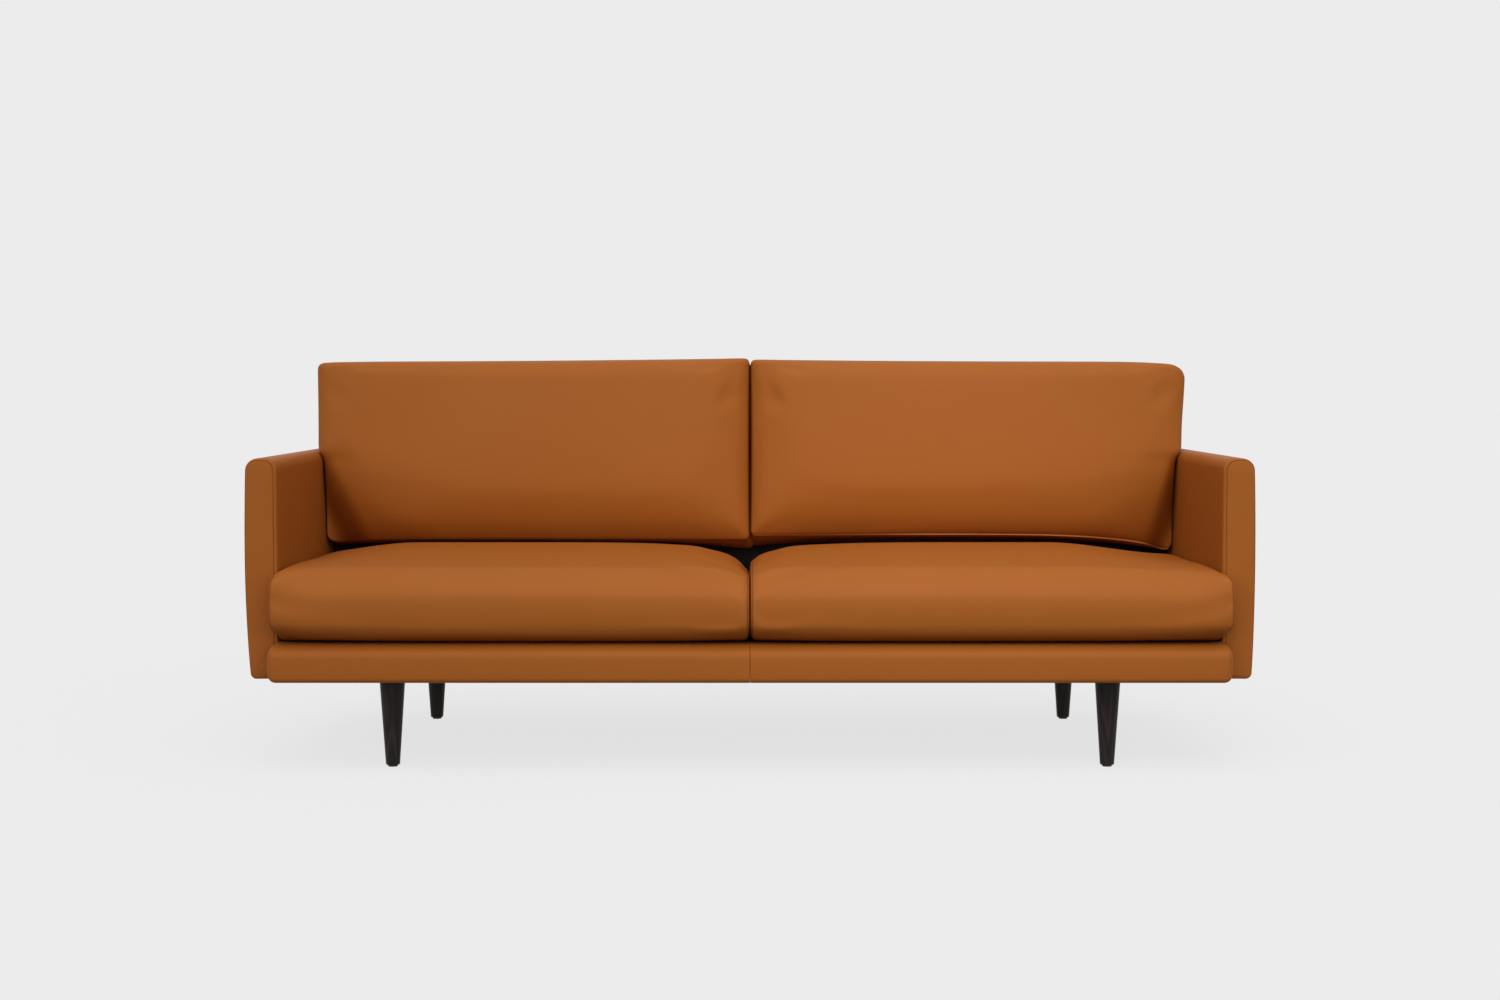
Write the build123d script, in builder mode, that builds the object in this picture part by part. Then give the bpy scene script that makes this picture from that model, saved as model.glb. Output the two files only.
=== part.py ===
from build123d import *
import math
import os

# A sofa with two loose seat cushions, two loose back cushions, slim panel arms and four turned legs.
# Millimetres, +Z up, -Y is the front, the origin is on the floor below the middle of the sofa.

# Overall sizes
OVERALL_WIDTH = 2080.0
OVERALL_DEPTH = 850.0
LEG_HEIGHT = 190.0
BASE_HEIGHT = 74.0
ARM_RISE = 453.0
BACK_RISE = 590.0

# Sheet and padding thicknesses
LEATHER = 2.0
BOARD = 3.0
STRAP = 2.0
DUST_COVER = 1.0
DECK_CLOTH = 2.0
DECK_FELT = 5.0

# Arms
ARM_THICKNESS = 64.0
ARM_SETBACK = 70.0
ARM_TOP_RADIUS = 24.0
ARM_FOOT_RADIUS = 12.0
ARM_DRAW_IN = 8.5
ARM_DRAW_IN_RISE = 290.0
ARM_CORE = 26.0
ARM_INNER_FOAM = 9.0
ARM_TOP_FOAM = 16.0
ARM_END_FOAM = 12.0
ARM_TOP_RAIL = 40.0
ARM_BOTTOM_RAIL = 60.0
ARM_POST = 50.0
ARM_BOARD_HOLD = 12.0
ARM_LIP = 22.0

# Base
RAIL = 25.0
FRONT_OVERLAP = 12.0
FRONT_GAP = 1.0
FRONT_END_FOAM = 10.0
FRONT_CORNER_RADIUS = 20.0
FRONT_TOP_RADIUS = 16.0
FRONT_FOOT_RADIUS = 10.0
FRONT_LIP_SHORT = 6.0
LEG_PLANK_WIDTH = 110.0
LEG_PLANK_HEIGHT = 30.0
CENTRE_PLANK_WIDTH = 60.0
DUST_COVER_INSET = 12.0
STRAP_WIDTH = 70.0
SEAT_STRAPS = 10
CROSS_STRAPS = 3
STRAP_HOLD = 20.0

# Legs
LEG_SIDE_INSET = 295.0
FRONT_LEG_INSET = 100.0
BACK_LEG_INSET = 64.0
LEG_TOP_RADIUS = 27.0
LEG_FOOT_RADIUS = 14.5
LEG_FOOT_CHAMFER = 3.0
GLIDE_RADIUS = 10.0
GLIDE_HEIGHT = 3.0

# Bolts and the tapped plates that they screw into
BOLT_RADIUS = 4.0
BOLT_CLEARANCE = 0.6
THREAD_CLEARANCE = 0.05
BOLT_HEAD_RADIUS = 7.5
BOLT_HEAD_HEIGHT = 5.0
BOLT_IN_LEG = 45.0
PLATE_SIZE = 24.0
PLATE = 4.0
PLATE_CLEARANCE = 0.1
ARM_BOLTS = 2
ARM_BOLT_INSET = 110.0
BACK_BOLT_IN_RAIL = 35.0

# Back
BACK_FOOT_DEPTH = 163.0
BACK_RAKE = 8.0
BACK_SIDE_GAP = 2.0
BACK_FOAM = 28.0
BACK_TOP_FOAM = 20.0
BACK_TOP_RADIUS = 30.0
BACK_REAR_RADIUS = 16.0
BACK_SEAM_DROP = 40.0
BACK_UPRIGHT = 28.0
BACK_UPRIGHTS = 4
BACK_STRAPS = 5
BACK_STRAP_WIDTH = 50.0

# Seat cushions
CUSHION_GAP = 1.0
CUSHION_LIFT = 0.4
SEAT_FRONT_INSET = 1.0
SEAT_REAR_GAP = 2.0
SEAT_EDGE_HEIGHT = 144.0
SEAT_CROWN = 30.0
SEAT_FRONT_BULGE = 7.0
SEAT_SIDE_ROUND = 14.0
SEAT_TOP_RADIUS = 34.0
SEAT_CORNER_RADIUS = 20.0
SEAT_CORE_SIDE = 45.0
SEAT_CORE_SKIN = 25.0
SEAT_SWELL_POWER = 2.6
SEAT_LEAST_SWELL = 0.06
SEAT_SHARES = (0.07, 0.17, 0.32, 0.5, 0.68, 0.83, 0.93)

# Back cushions
BACK_CUSHION_HEIGHT = 415.0
BACK_CUSHION_BORDER = 132.0
BACK_CUSHION_CROWN = 46.0
BACK_CUSHION_FLARE = 18.0
BACK_CUSHION_ROUND = 14.0
BACK_CUSHION_RADIUS = 26.0
BACK_CUSHION_DRAW_IN = 3.0
BACK_CUSHION_CORE_SIDE = 45.0
BACK_CUSHION_CORE_SKIN = 24.0
BACK_CUSHION_SWELL_POWER = 2.4
BACK_CUSHION_LEAST_SWELL = 0.3
BACK_CUSHION_FLARE_SHARE = 0.3
BACK_CUSHION_SHARES = (0.14, 0.32, 0.53, 0.69, 0.85)
CORE_CLEARANCE = 0.5

# Places that follow from the sizes above
SIDES = (("left", -1), ("right", 1))
half_width = OVERALL_WIDTH / 2
front_y = -OVERALL_DEPTH / 2
rear_y = OVERALL_DEPTH / 2
underside_z = LEG_HEIGHT
base_top_z = underside_z + BASE_HEIGHT
strap_top_z = base_top_z - DECK_CLOTH - DECK_FELT
front_rail_top_z = strap_top_z - STRAP
side_rail_top_z = front_rail_top_z - STRAP

arm_inner_x = half_width - ARM_THICKNESS
arm_front_y = front_y + ARM_SETBACK
arm_length = rear_y - arm_front_y
arm_top_z = underside_z + ARM_RISE
arm_frame_x = arm_inner_x + LEATHER + ARM_INNER_FOAM + BOARD + ARM_CORE / 2
arm_frame_front_y = arm_front_y + LEATHER + ARM_END_FOAM
arm_frame_rear_y = rear_y - LEATHER - ARM_END_FOAM
arm_frame_length = arm_frame_rear_y - arm_frame_front_y
arm_frame_y = (arm_frame_front_y + arm_frame_rear_y) / 2
arm_frame_bottom_z = underside_z + LEATHER
arm_frame_top_z = arm_top_z - LEATHER - ARM_TOP_FOAM
arm_bolt_z = (underside_z + side_rail_top_z) / 2

front_rail_rear_y = arm_front_y - FRONT_GAP
front_rail_front_y = front_rail_rear_y - RAIL
front_half_x = arm_inner_x + FRONT_OVERLAP
front_rail_half_x = front_half_x - LEATHER - FRONT_END_FOAM
leg_x = half_width - LEG_SIDE_INSET
front_leg_y = front_y + FRONT_LEG_INSET
back_leg_y = rear_y - BACK_LEG_INSET
leg_top_z = underside_z - DUST_COVER
leg_plank_top_z = underside_z + LEG_PLANK_HEIGHT

rake = math.radians(BACK_RAKE)
back_half_x = arm_inner_x - BACK_SIDE_GAP
back_top_z = underside_z + BACK_RISE
back_frame_rear_y = rear_y - LEATHER - BOARD
back_frame_top_z = back_top_z - LEATHER - BACK_TOP_FOAM
back_strap_inset = LEATHER + BACK_FOAM
back_frame_inset = back_strap_inset + STRAP
rear_rail_front_y = back_frame_rear_y - RAIL
plank_top_z = side_rail_top_z + RAIL
back_seam_z = back_top_z - BACK_SEAM_DROP


def back_face_y(z, inset=0.0):
    """Depth of the raked inside of the back at height z, moved inwards by an inset square to it."""
    return rear_y - BACK_FOOT_DEPTH + (z - base_top_z) * math.tan(rake) + inset / math.cos(rake)


plank_front_y = back_face_y(plank_top_z, back_frame_inset)
seat_rail_front_y = plank_front_y - RAIL

os.makedirs("parts", exist_ok=True)


def save(part, name):
    """Label one piece and write it."""
    part.label = name
    export_step(part, f"parts/{name}.step")


def block(x_range, y_range, z_range, mode=Mode.ADD):
    """A square block between two values along each axis."""
    middle = [(low + high) / 2 for low, high in (x_range, y_range, z_range)]
    with Locations(tuple(middle)):
        return Box(x_range[1] - x_range[0], y_range[1] - y_range[0], z_range[1] - z_range[0], mode=mode)


def spread(count, first, last):
    """Evenly spaced places from the first to the last."""
    return [first + (last - first) * index / (count - 1) for index in range(count)]


def hex_bolt(length):
    """A bolt with a six-sided head above the origin and its shank below."""
    with BuildPart() as bolt:
        with BuildSketch():
            RegularPolygon(BOLT_HEAD_RADIUS, 6)
        extrude(amount=BOLT_HEAD_HEIGHT)
        Cylinder(BOLT_RADIUS, length, align=(Align.CENTER, Align.CENTER, Align.MAX))
    return bolt.part


def tapped_plate():
    """A square plate below the origin with a tapped hole in its middle."""
    with BuildPart() as plate:
        Box(PLATE_SIZE, PLATE_SIZE, PLATE, align=(Align.CENTER, Align.CENTER, Align.MAX))
        Hole(BOLT_RADIUS + THREAD_CLEARANCE)
    return plate.part


def plate_pocket():
    """The pocket that a tapped plate lies in, flush with the wood, cut at every place in use."""
    size = PLATE_SIZE + 2 * PLATE_CLEARANCE
    return Box(size, size, PLATE, align=(Align.CENTER, Align.CENTER, Align.MAX), mode=Mode.SUBTRACT)


# Base box
with BuildPart() as front_rail:
    block((-front_rail_half_x, front_rail_half_x), (front_rail_front_y, front_rail_rear_y),
          (underside_z + LEATHER, front_rail_top_z))
save(front_rail.part, "front_rail")

back_frame_half_x = back_half_x - LEATHER
upright_x = back_frame_half_x - BACK_UPRIGHT / 2
upright_places = spread(BACK_UPRIGHTS, -upright_x, upright_x)
back_bolt_y = (rear_rail_front_y + back_frame_rear_y) / 2
back_bolt_places = [((near + far) / 2, back_bolt_y) for near, far in zip(upright_places, upright_places[1:])]

with BuildPart() as rear_rail:
    block((-arm_inner_x, arm_inner_x), (rear_rail_front_y, back_frame_rear_y),
          (underside_z, side_rail_top_z))
    with Locations(*[(x, y, side_rail_top_z) for x, y in back_bolt_places]):
        Hole(BOLT_RADIUS + THREAD_CLEARANCE, BACK_BOLT_IN_RAIL + BOLT_CLEARANCE)
save(rear_rail.part, "rear_rail")

arm_bolt_ys = spread(ARM_BOLTS, front_rail_rear_y + ARM_BOLT_INSET, seat_rail_front_y - ARM_BOLT_INSET)


def arm_bolt_planes(side, distance):
    """Planes square to the arm bolts, at a distance from the middle of the sofa, facing outwards."""
    return [Plane(origin=(side * distance, y, arm_bolt_z), x_dir=(0, side, 0), z_dir=(side, 0, 0))
            for y in arm_bolt_ys]


for side_name, side in SIDES:
    with BuildPart() as side_rail:
        edges = sorted((side * (arm_inner_x - RAIL), side * arm_inner_x))
        block(edges, (front_rail_rear_y, rear_rail_front_y), (underside_z, side_rail_top_z))
        with Locations(*arm_bolt_planes(side, arm_inner_x)):
            Hole(BOLT_RADIUS + BOLT_CLEARANCE, RAIL)
    save(side_rail.part, f"{side_name}_side_rail")

with BuildPart() as seat_rear_rail:
    block((-arm_inner_x + RAIL, arm_inner_x - RAIL), (seat_rail_front_y, plank_front_y),
          (leg_plank_top_z, front_rail_top_z))
save(seat_rear_rail.part, "seat_rear_rail")

for side_name, side in SIDES:
    with BuildPart() as leg_plank:
        block((side * leg_x - LEG_PLANK_WIDTH / 2, side * leg_x + LEG_PLANK_WIDTH / 2),
              (front_rail_rear_y, rear_rail_front_y), (underside_z, leg_plank_top_z))
        with Locations(*[(side * leg_x, y, leg_plank_top_z) for y in (front_leg_y, back_leg_y)]):
            Hole(BOLT_RADIUS + BOLT_CLEARANCE, LEG_PLANK_HEIGHT)
            plate_pocket()
    save(leg_plank.part, f"{side_name}_leg_rail")

with BuildPart() as centre_rail:
    block((-CENTRE_PLANK_WIDTH / 2, CENTRE_PLANK_WIDTH / 2), (front_rail_rear_y, rear_rail_front_y),
          (underside_z, leg_plank_top_z))
save(centre_rail.part, "centre_rail")

# Webbing, felt and cloth that the seat cushions rest on
strap_half_x = arm_inner_x - RAIL - STRAP_WIDTH / 2

with BuildPart() as cross_webbing:
    for y in spread(CROSS_STRAPS + 2, front_rail_rear_y, seat_rail_front_y)[1:-1]:
        block((-arm_inner_x + STRAP, arm_inner_x - STRAP), (y - STRAP_WIDTH / 2, y + STRAP_WIDTH / 2),
              (side_rail_top_z, front_rail_top_z))
save(cross_webbing.part, "cross_webbing")

with BuildPart() as seat_webbing:
    for x in spread(SEAT_STRAPS, -strap_half_x, strap_half_x):
        block((x - STRAP_WIDTH / 2, x + STRAP_WIDTH / 2),
              (front_rail_rear_y - STRAP_HOLD, seat_rail_front_y + STRAP_HOLD),
              (front_rail_top_z, strap_top_z))
save(seat_webbing.part, "seat_webbing")

with BuildPart() as deck_felt:
    block((-arm_inner_x, arm_inner_x), (front_rail_rear_y, plank_front_y),
          (strap_top_z, base_top_z - DECK_CLOTH))
save(deck_felt.part, "deck_felt")

with BuildPart() as deck_cloth:
    block((-arm_inner_x, arm_inner_x), (front_rail_rear_y, plank_front_y),
          (base_top_z - DECK_CLOTH, base_top_z))
save(deck_cloth.part, "deck_cloth")


def front_roll(inset):
    """The padded front: what is common to its rounded outlines from three sides."""
    half_x = front_half_x - inset
    near_y = front_y + inset
    low_z = underside_z + inset
    high_z = base_top_z - inset
    with BuildPart() as roll:
        with BuildSketch(Plane.YZ):
            with BuildLine():
                Polyline((front_rail_rear_y, low_z), (near_y, low_z), (near_y, high_z),
                         (front_rail_rear_y, high_z), close=True)
            side_view = make_face()
            nose = side_view.vertices().group_by(Axis.X)[0].sort_by(Axis.Y)
            fillet(nose[0], FRONT_FOOT_RADIUS - inset)
            fillet(nose[1], FRONT_TOP_RADIUS - inset)
        extrude(amount=half_x, both=True)
        with BuildSketch(Plane.XZ.offset(-front_rail_rear_y)):
            with Locations((0, (low_z + high_z) / 2)):
                front_view = Rectangle(2 * half_x, high_z - low_z)
            fillet(front_view.vertices().group_by(Axis.Y)[-1], FRONT_TOP_RADIUS - inset)
            fillet(front_view.vertices().group_by(Axis.Y)[0], FRONT_FOOT_RADIUS - inset)
        extrude(amount=front_rail_rear_y - near_y, mode=Mode.INTERSECT)
        with BuildSketch(Plane.XY.offset(low_z)):
            with Locations((0, (near_y + front_rail_rear_y) / 2)):
                top_view = Rectangle(2 * half_x, front_rail_rear_y - near_y)
            fillet(top_view.vertices().group_by(Axis.Y)[0], FRONT_CORNER_RADIUS - inset)
        extrude(amount=high_z - low_z, mode=Mode.INTERSECT)
    return roll.part


front_roll_inside = front_roll(LEATHER)

with BuildPart() as front_foam:
    add(front_roll_inside)
    block((-front_rail_half_x, front_rail_half_x), (front_rail_front_y, front_rail_rear_y),
          (underside_z, strap_top_z), mode=Mode.SUBTRACT)
save(front_foam.part, "front_foam")

with BuildPart() as front_cover:
    add(front_roll(0.0))
    add(front_roll_inside, mode=Mode.SUBTRACT)
    block((-front_half_x, front_half_x), (front_rail_rear_y - FRONT_LIP_SHORT, front_rail_rear_y),
          (underside_z, underside_z + LEATHER), mode=Mode.SUBTRACT)

for side_name, side in SIDES:
    with BuildPart() as half_cover:
        add(front_cover.part)
        split(bisect_by=Plane.YZ, keep=Keep.TOP if side > 0 else Keep.BOTTOM)
    save(half_cover.part, f"{side_name}_front_cover")

leg_places = [(x, y) for x in (-leg_x, leg_x) for y in (front_leg_y, back_leg_y)]

with BuildPart() as dust_cover:
    block((DUST_COVER_INSET - arm_inner_x, arm_inner_x - DUST_COVER_INSET),
          (front_rail_front_y + DUST_COVER_INSET, rear_y - DUST_COVER_INSET), (leg_top_z, underside_z))
    with Locations(*[(x, y, underside_z) for x, y in leg_places]):
        Hole(BOLT_RADIUS + BOLT_CLEARANCE, DUST_COVER)
save(dust_cover.part, "dust_cover")

# Turned legs with their bolts, nuts and glides
with BuildPart() as turned_leg:
    with BuildSketch(Plane.XZ):
        with BuildLine():
            Polyline((0, GLIDE_HEIGHT), (LEG_FOOT_RADIUS, GLIDE_HEIGHT), (LEG_TOP_RADIUS, leg_top_z),
                     (0, leg_top_z), close=True)
        outline = make_face()
        foot = outline.vertices().group_by(Axis.Y)[0].sort_by(Axis.X)[-1]
        chamfer(foot, LEG_FOOT_CHAMFER)
    revolve(axis=Axis.Z)
    with Locations((0, 0, leg_top_z)):
        Hole(BOLT_RADIUS + THREAD_CLEARANCE, BOLT_IN_LEG + BOLT_CLEARANCE)

for row_name, leg_y in (("front", front_leg_y), ("back", back_leg_y)):
    for side_name, side in SIDES:
        with BuildPart() as leg:
            with Locations((side * leg_x, leg_y)):
                add(turned_leg.part)
        save(leg.part, f"{row_name}_{side_name}_leg")

with BuildPart() as hanger_bolts:
    with Locations(*[(x, y, leg_top_z - BOLT_IN_LEG) for x, y in leg_places]):
        Cylinder(BOLT_RADIUS, BOLT_IN_LEG + DUST_COVER + LEG_PLANK_HEIGHT,
                 align=(Align.CENTER, Align.CENTER, Align.MIN))
save(hanger_bolts.part, "hanger_bolts")

with BuildPart() as leg_plates:
    with Locations(*[(x, y, leg_plank_top_z) for x, y in leg_places]):
        add(tapped_plate())
save(leg_plates.part, "leg_plates")

with BuildPart() as glides:
    with Locations(*leg_places):
        Cylinder(GLIDE_RADIUS, GLIDE_HEIGHT, align=(Align.CENTER, Align.CENTER, Align.MIN))
save(glides.part, "glides")

# Arms
def arm_outline(side, inset):
    """The arm from the front: upright inner face, rounded top, outer face drawn in towards the foot."""
    inner_x = side * (arm_inner_x + inset)
    outer_x = side * (half_width - inset)
    foot_x = side * (half_width - ARM_DRAW_IN - inset)
    low_z = underside_z + inset
    high_z = arm_top_z - inset
    with BuildSketch() as outline:
        with BuildLine():
            straight = Polyline((foot_x, low_z), (inner_x, low_z), (inner_x, high_z), (outer_x, high_z),
                                (outer_x, underside_z + ARM_DRAW_IN_RISE))
            TangentArc(straight @ 1, straight @ 0, tangent=(0, -1))
        make_face()
        fillet(outline.vertices().group_by(Axis.Y)[-1], ARM_TOP_RADIUS - inset)
        foot = outline.vertices().group_by(Axis.Y)[0].sort_by(Axis.X)
        fillet(foot[-1 if side > 0 else 0], ARM_FOOT_RADIUS - inset)
    return outline.sketch


def arm_frame_box(y_range, z_range, side, thickness=ARM_CORE, mode=Mode.ADD):
    """A block in the plane of the arm's frame."""
    x_range = (side * arm_frame_x - thickness / 2, side * arm_frame_x + thickness / 2)
    return block(x_range, y_range, z_range, mode)


arm_frame_y_range = (arm_frame_front_y, arm_frame_rear_y)
arm_board_offset = (ARM_CORE + BOARD) / 2
arm_board_low_z = arm_frame_bottom_z + ARM_BOTTOM_RAIL - ARM_BOARD_HOLD

for side_name, side in SIDES:
    with BuildPart() as arm_rails:
        arm_frame_box(arm_frame_y_range, (arm_frame_top_z - ARM_TOP_RAIL, arm_frame_top_z), side)
        arm_frame_box(arm_frame_y_range, (arm_frame_bottom_z, arm_frame_bottom_z + ARM_BOTTOM_RAIL), side)
        with Locations(*arm_bolt_planes(side, arm_frame_x + ARM_CORE / 2)):
            Hole(BOLT_RADIUS + BOLT_CLEARANCE, ARM_CORE)
            plate_pocket()
    save(arm_rails.part, f"{side_name}_arm_rails")

    with BuildPart() as arm_posts:
        for y in spread(3, arm_frame_front_y + ARM_POST / 2, arm_frame_rear_y - ARM_POST / 2):
            arm_frame_box((y - ARM_POST / 2, y + ARM_POST / 2),
                          (arm_frame_bottom_z + ARM_BOTTOM_RAIL, arm_frame_top_z - ARM_TOP_RAIL), side)
    save(arm_posts.part, f"{side_name}_arm_posts")

    with BuildPart() as arm_boards:
        with Locations(*[(side * arm_frame_x + shift, arm_frame_y, (arm_board_low_z + arm_frame_top_z) / 2)
                         for shift in (-arm_board_offset, arm_board_offset)]):
            Box(BOARD, arm_frame_length, arm_frame_top_z - arm_board_low_z)
    save(arm_boards.part, f"{side_name}_arm_boards")

    with BuildPart() as arm_foam:
        with BuildSketch(Plane.XZ.offset(LEATHER - rear_y)):
            add(arm_outline(side, LEATHER))
        extrude(amount=arm_length - 2 * LEATHER)
        arm_frame_box(arm_frame_y_range, (underside_z, arm_frame_top_z), side, ARM_CORE, Mode.SUBTRACT)
        arm_frame_box(arm_frame_y_range, (arm_board_low_z, arm_frame_top_z), side, ARM_CORE + 2 * BOARD,
                      Mode.SUBTRACT)
        with Locations(*arm_bolt_planes(side, arm_inner_x)):
            Hole(BOLT_RADIUS + BOLT_CLEARANCE, LEATHER + ARM_INNER_FOAM + BOARD)
    save(arm_foam.part, f"{side_name}_arm_foam")

    with BuildPart() as arm_cover:
        with BuildSketch(Plane.XZ.offset(-rear_y)):
            add(arm_outline(side, 0.0))
            add(arm_outline(side, LEATHER), mode=Mode.SUBTRACT)
        extrude(amount=arm_length)
        slot_edges = sorted((side * (arm_inner_x + ARM_LIP), side * (half_width - ARM_LIP)))
        block(slot_edges, (arm_front_y, rear_y), (underside_z, underside_z + LEATHER), mode=Mode.SUBTRACT)
        with Locations(*arm_bolt_planes(side, arm_inner_x)):
            Hole(BOLT_RADIUS + BOLT_CLEARANCE, LEATHER + ARM_INNER_FOAM + BOARD)
    save(arm_cover.part, f"{side_name}_arm_cover")

    for end_name, end_y in (("front", arm_front_y + LEATHER), ("rear", rear_y)):
        with BuildPart() as arm_facing:
            with BuildSketch(Plane.XZ.offset(-end_y)):
                add(arm_outline(side, LEATHER))
            extrude(amount=LEATHER)
        save(arm_facing.part, f"{side_name}_arm_{end_name}_facing")

arm_bolt_length = arm_frame_x + ARM_CORE / 2 - arm_inner_x + RAIL

with BuildPart() as arm_bolts:
    for _, side in SIDES:
        with Locations(*arm_bolt_planes(-side, -(arm_inner_x - RAIL))):
            add(hex_bolt(arm_bolt_length))
save(arm_bolts.part, "arm_bolts")

with BuildPart() as arm_plates:
    for _, side in SIDES:
        with Locations(*arm_bolt_planes(side, arm_frame_x + ARM_CORE / 2)):
            add(tapped_plate())
save(arm_plates.part, "arm_plates")

# Back
with BuildPart() as back_bottom_rail:
    block((-back_frame_half_x, back_frame_half_x), (plank_front_y, back_frame_rear_y),
          (side_rail_top_z, plank_top_z))
    with Locations(*[(x, y, plank_top_z) for x, y in back_bolt_places]):
        Hole(BOLT_RADIUS + BOLT_CLEARANCE, RAIL)
save(back_bottom_rail.part, "back_bottom_rail")

with BuildPart() as back_bolts:
    with Locations(*[(x, y, plank_top_z) for x, y in back_bolt_places]):
        add(hex_bolt(RAIL + BACK_BOLT_IN_RAIL))
save(back_bolts.part, "back_bolts")

with BuildPart() as back_top_rail:
    block((-back_frame_half_x, back_frame_half_x),
          (back_face_y(back_frame_top_z, back_frame_inset), back_frame_rear_y),
          (back_frame_top_z - RAIL, back_frame_top_z))
save(back_top_rail.part, "back_top_rail")

upright_top_z = back_frame_top_z - RAIL

with BuildPart() as back_uprights:
    for x in upright_places:
        with BuildSketch(Plane.YZ.offset(x)):
            with BuildLine():
                Polyline((back_face_y(plank_top_z, back_frame_inset), plank_top_z),
                         (back_frame_rear_y, plank_top_z), (back_frame_rear_y, upright_top_z),
                         (back_face_y(upright_top_z, back_frame_inset), upright_top_z), close=True)
            make_face()
        extrude(amount=BACK_UPRIGHT / 2, both=True)
save(back_uprights.part, "back_uprights")

rake_plane = Plane(origin=(0, back_face_y(plank_top_z, back_frame_inset), plank_top_z), x_dir=(1, 0, 0),
                   z_dir=(0, -math.cos(rake), math.sin(rake)))
upright_length = (upright_top_z - plank_top_z) / math.cos(rake)
back_strap_places = spread(BACK_STRAPS, BACK_STRAP_WIDTH, upright_length - BACK_STRAP_WIDTH)

with BuildPart() as back_webbing:
    with BuildSketch(rake_plane):
        with Locations(*[(0, v) for v in back_strap_places]):
            Rectangle(2 * back_frame_half_x, BACK_STRAP_WIDTH)
    extrude(amount=STRAP)
save(back_webbing.part, "back_webbing")


def back_outline(inset, low_z):
    """The back from the side: raked inside face, rounded top, upright outside face."""
    high_z = back_top_z - inset
    with BuildSketch() as outline:
        with BuildLine():
            Polyline((back_face_y(low_z, inset), low_z), (rear_y - inset, low_z), (rear_y - inset, high_z),
                     (back_face_y(high_z, inset), high_z), close=True)
        make_face()
        crest = outline.vertices().group_by(Axis.Y)[-1].sort_by(Axis.X)
        fillet(crest[0], BACK_TOP_RADIUS - inset)
        fillet(outline.vertices().group_by(Axis.Y)[-1].sort_by(Axis.X)[-1], BACK_REAR_RADIUS - inset)
    return outline.sketch


with BuildPart() as back_foam:
    with BuildSketch(Plane.YZ):
        add(back_outline(LEATHER, base_top_z))
        with BuildLine():
            Polyline((back_face_y(underside_z, back_strap_inset), underside_z), (rear_y, underside_z),
                     (rear_y, back_frame_top_z),
                     (back_face_y(back_frame_top_z, back_strap_inset), back_frame_top_z), close=True)
        make_face(mode=Mode.SUBTRACT)
    extrude(amount=back_frame_half_x, both=True)
save(back_foam.part, "back_foam")

with BuildPart() as back_board:
    block((-back_frame_half_x, back_frame_half_x), (back_frame_rear_y, rear_y - LEATHER),
          (underside_z, back_frame_top_z))
save(back_board.part, "back_board")

with BuildPart() as back_cover:
    with BuildSketch(Plane.YZ):
        add(back_outline(0.0, base_top_z))
    extrude(amount=back_half_x, both=True)
    with BuildSketch(Plane.YZ):
        add(back_outline(LEATHER, underside_z))
    extrude(amount=back_frame_half_x, both=True, mode=Mode.SUBTRACT)
    block((-back_frame_half_x, back_frame_half_x), (rear_y - LEATHER, rear_y), (base_top_z, back_seam_z),
          mode=Mode.SUBTRACT)
save(back_cover.part, "back_cover")

with BuildPart() as back_outer_cover:
    block((-back_frame_half_x, back_frame_half_x), (rear_y - LEATHER, rear_y), (underside_z, back_seam_z))
save(back_outer_cover.part, "back_outer_cover")

# Loose seat cushions
seat_bottom_z = base_top_z + CUSHION_LIFT
seat_edge_z = seat_bottom_z + SEAT_EDGE_HEIGHT
seat_front_y = front_y + SEAT_FRONT_INSET
seat_rear_y = back_face_y(base_top_z) - SEAT_REAR_GAP
seat_width = arm_inner_x - 2 * CUSHION_GAP


def rounded_stations(length, radius, middle_shares):
    """Distances along a cushion with how far its outline is tucked in there, both ends rounded."""
    turns = [math.radians(angle) for angle in (0, 35, 90)]
    ends = [(radius * (1 - math.cos(turn)), radius * (1 - math.sin(turn))) for turn in turns]
    middle = [(length * share, 0.0) for share in middle_shares]
    return ends + middle + [(length - distance, tuck) for distance, tuck in reversed(ends)]


def swell(share, power, least):
    """How full a cushion stands at a share of its length: one in the middle, the least value at the ends."""
    return least + (1 - least) * (1 - abs(2 * share - 1) ** power)


def seat_section(x, tuck, rise):
    """Outline of the seat cushion from the side at one place across it: flat below, crowned on top."""
    front = seat_front_y + SEAT_FRONT_BULGE + tuck
    rear = seat_rear_y - tuck
    low = seat_bottom_z + tuck
    high = seat_edge_z - tuck + rise / 2
    with BuildSketch(Plane.YZ.offset(x)) as outline:
        with BuildLine():
            Line((rear, low), (front, low))
            ThreePointArc((front, low), (front - SEAT_FRONT_BULGE, (low + high) / 2), (front, high))
            ThreePointArc((front, high), ((front + rear) / 2, high + rise / 2), (rear, high))
            Line((rear, high), (rear, low))
        make_face()
        corners = outline.vertices()
        nose = corners.sort_by_distance(Vertex(front, high))[0]
        fillet(nose, SEAT_TOP_RADIUS)
        others = ((rear, high), (rear, low), (front, low))
        fillet([corners.sort_by_distance(Vertex(*place))[0] for place in others], SEAT_CORNER_RADIUS)
    return outline.sketch


def seat_core_block(side, clearance):
    """The square foam block inside a seat cushion."""
    x_range = sorted((side * (CUSHION_GAP + SEAT_CORE_SIDE - clearance),
                      side * (CUSHION_GAP + seat_width - SEAT_CORE_SIDE + clearance)))
    with BuildPart() as core:
        block(x_range, (seat_front_y + SEAT_CORE_SIDE - clearance, seat_rear_y - SEAT_CORE_SIDE + clearance),
              (seat_bottom_z + SEAT_CORE_SKIN - clearance, seat_edge_z - SEAT_CORE_SKIN + clearance))
    return core.part


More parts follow.
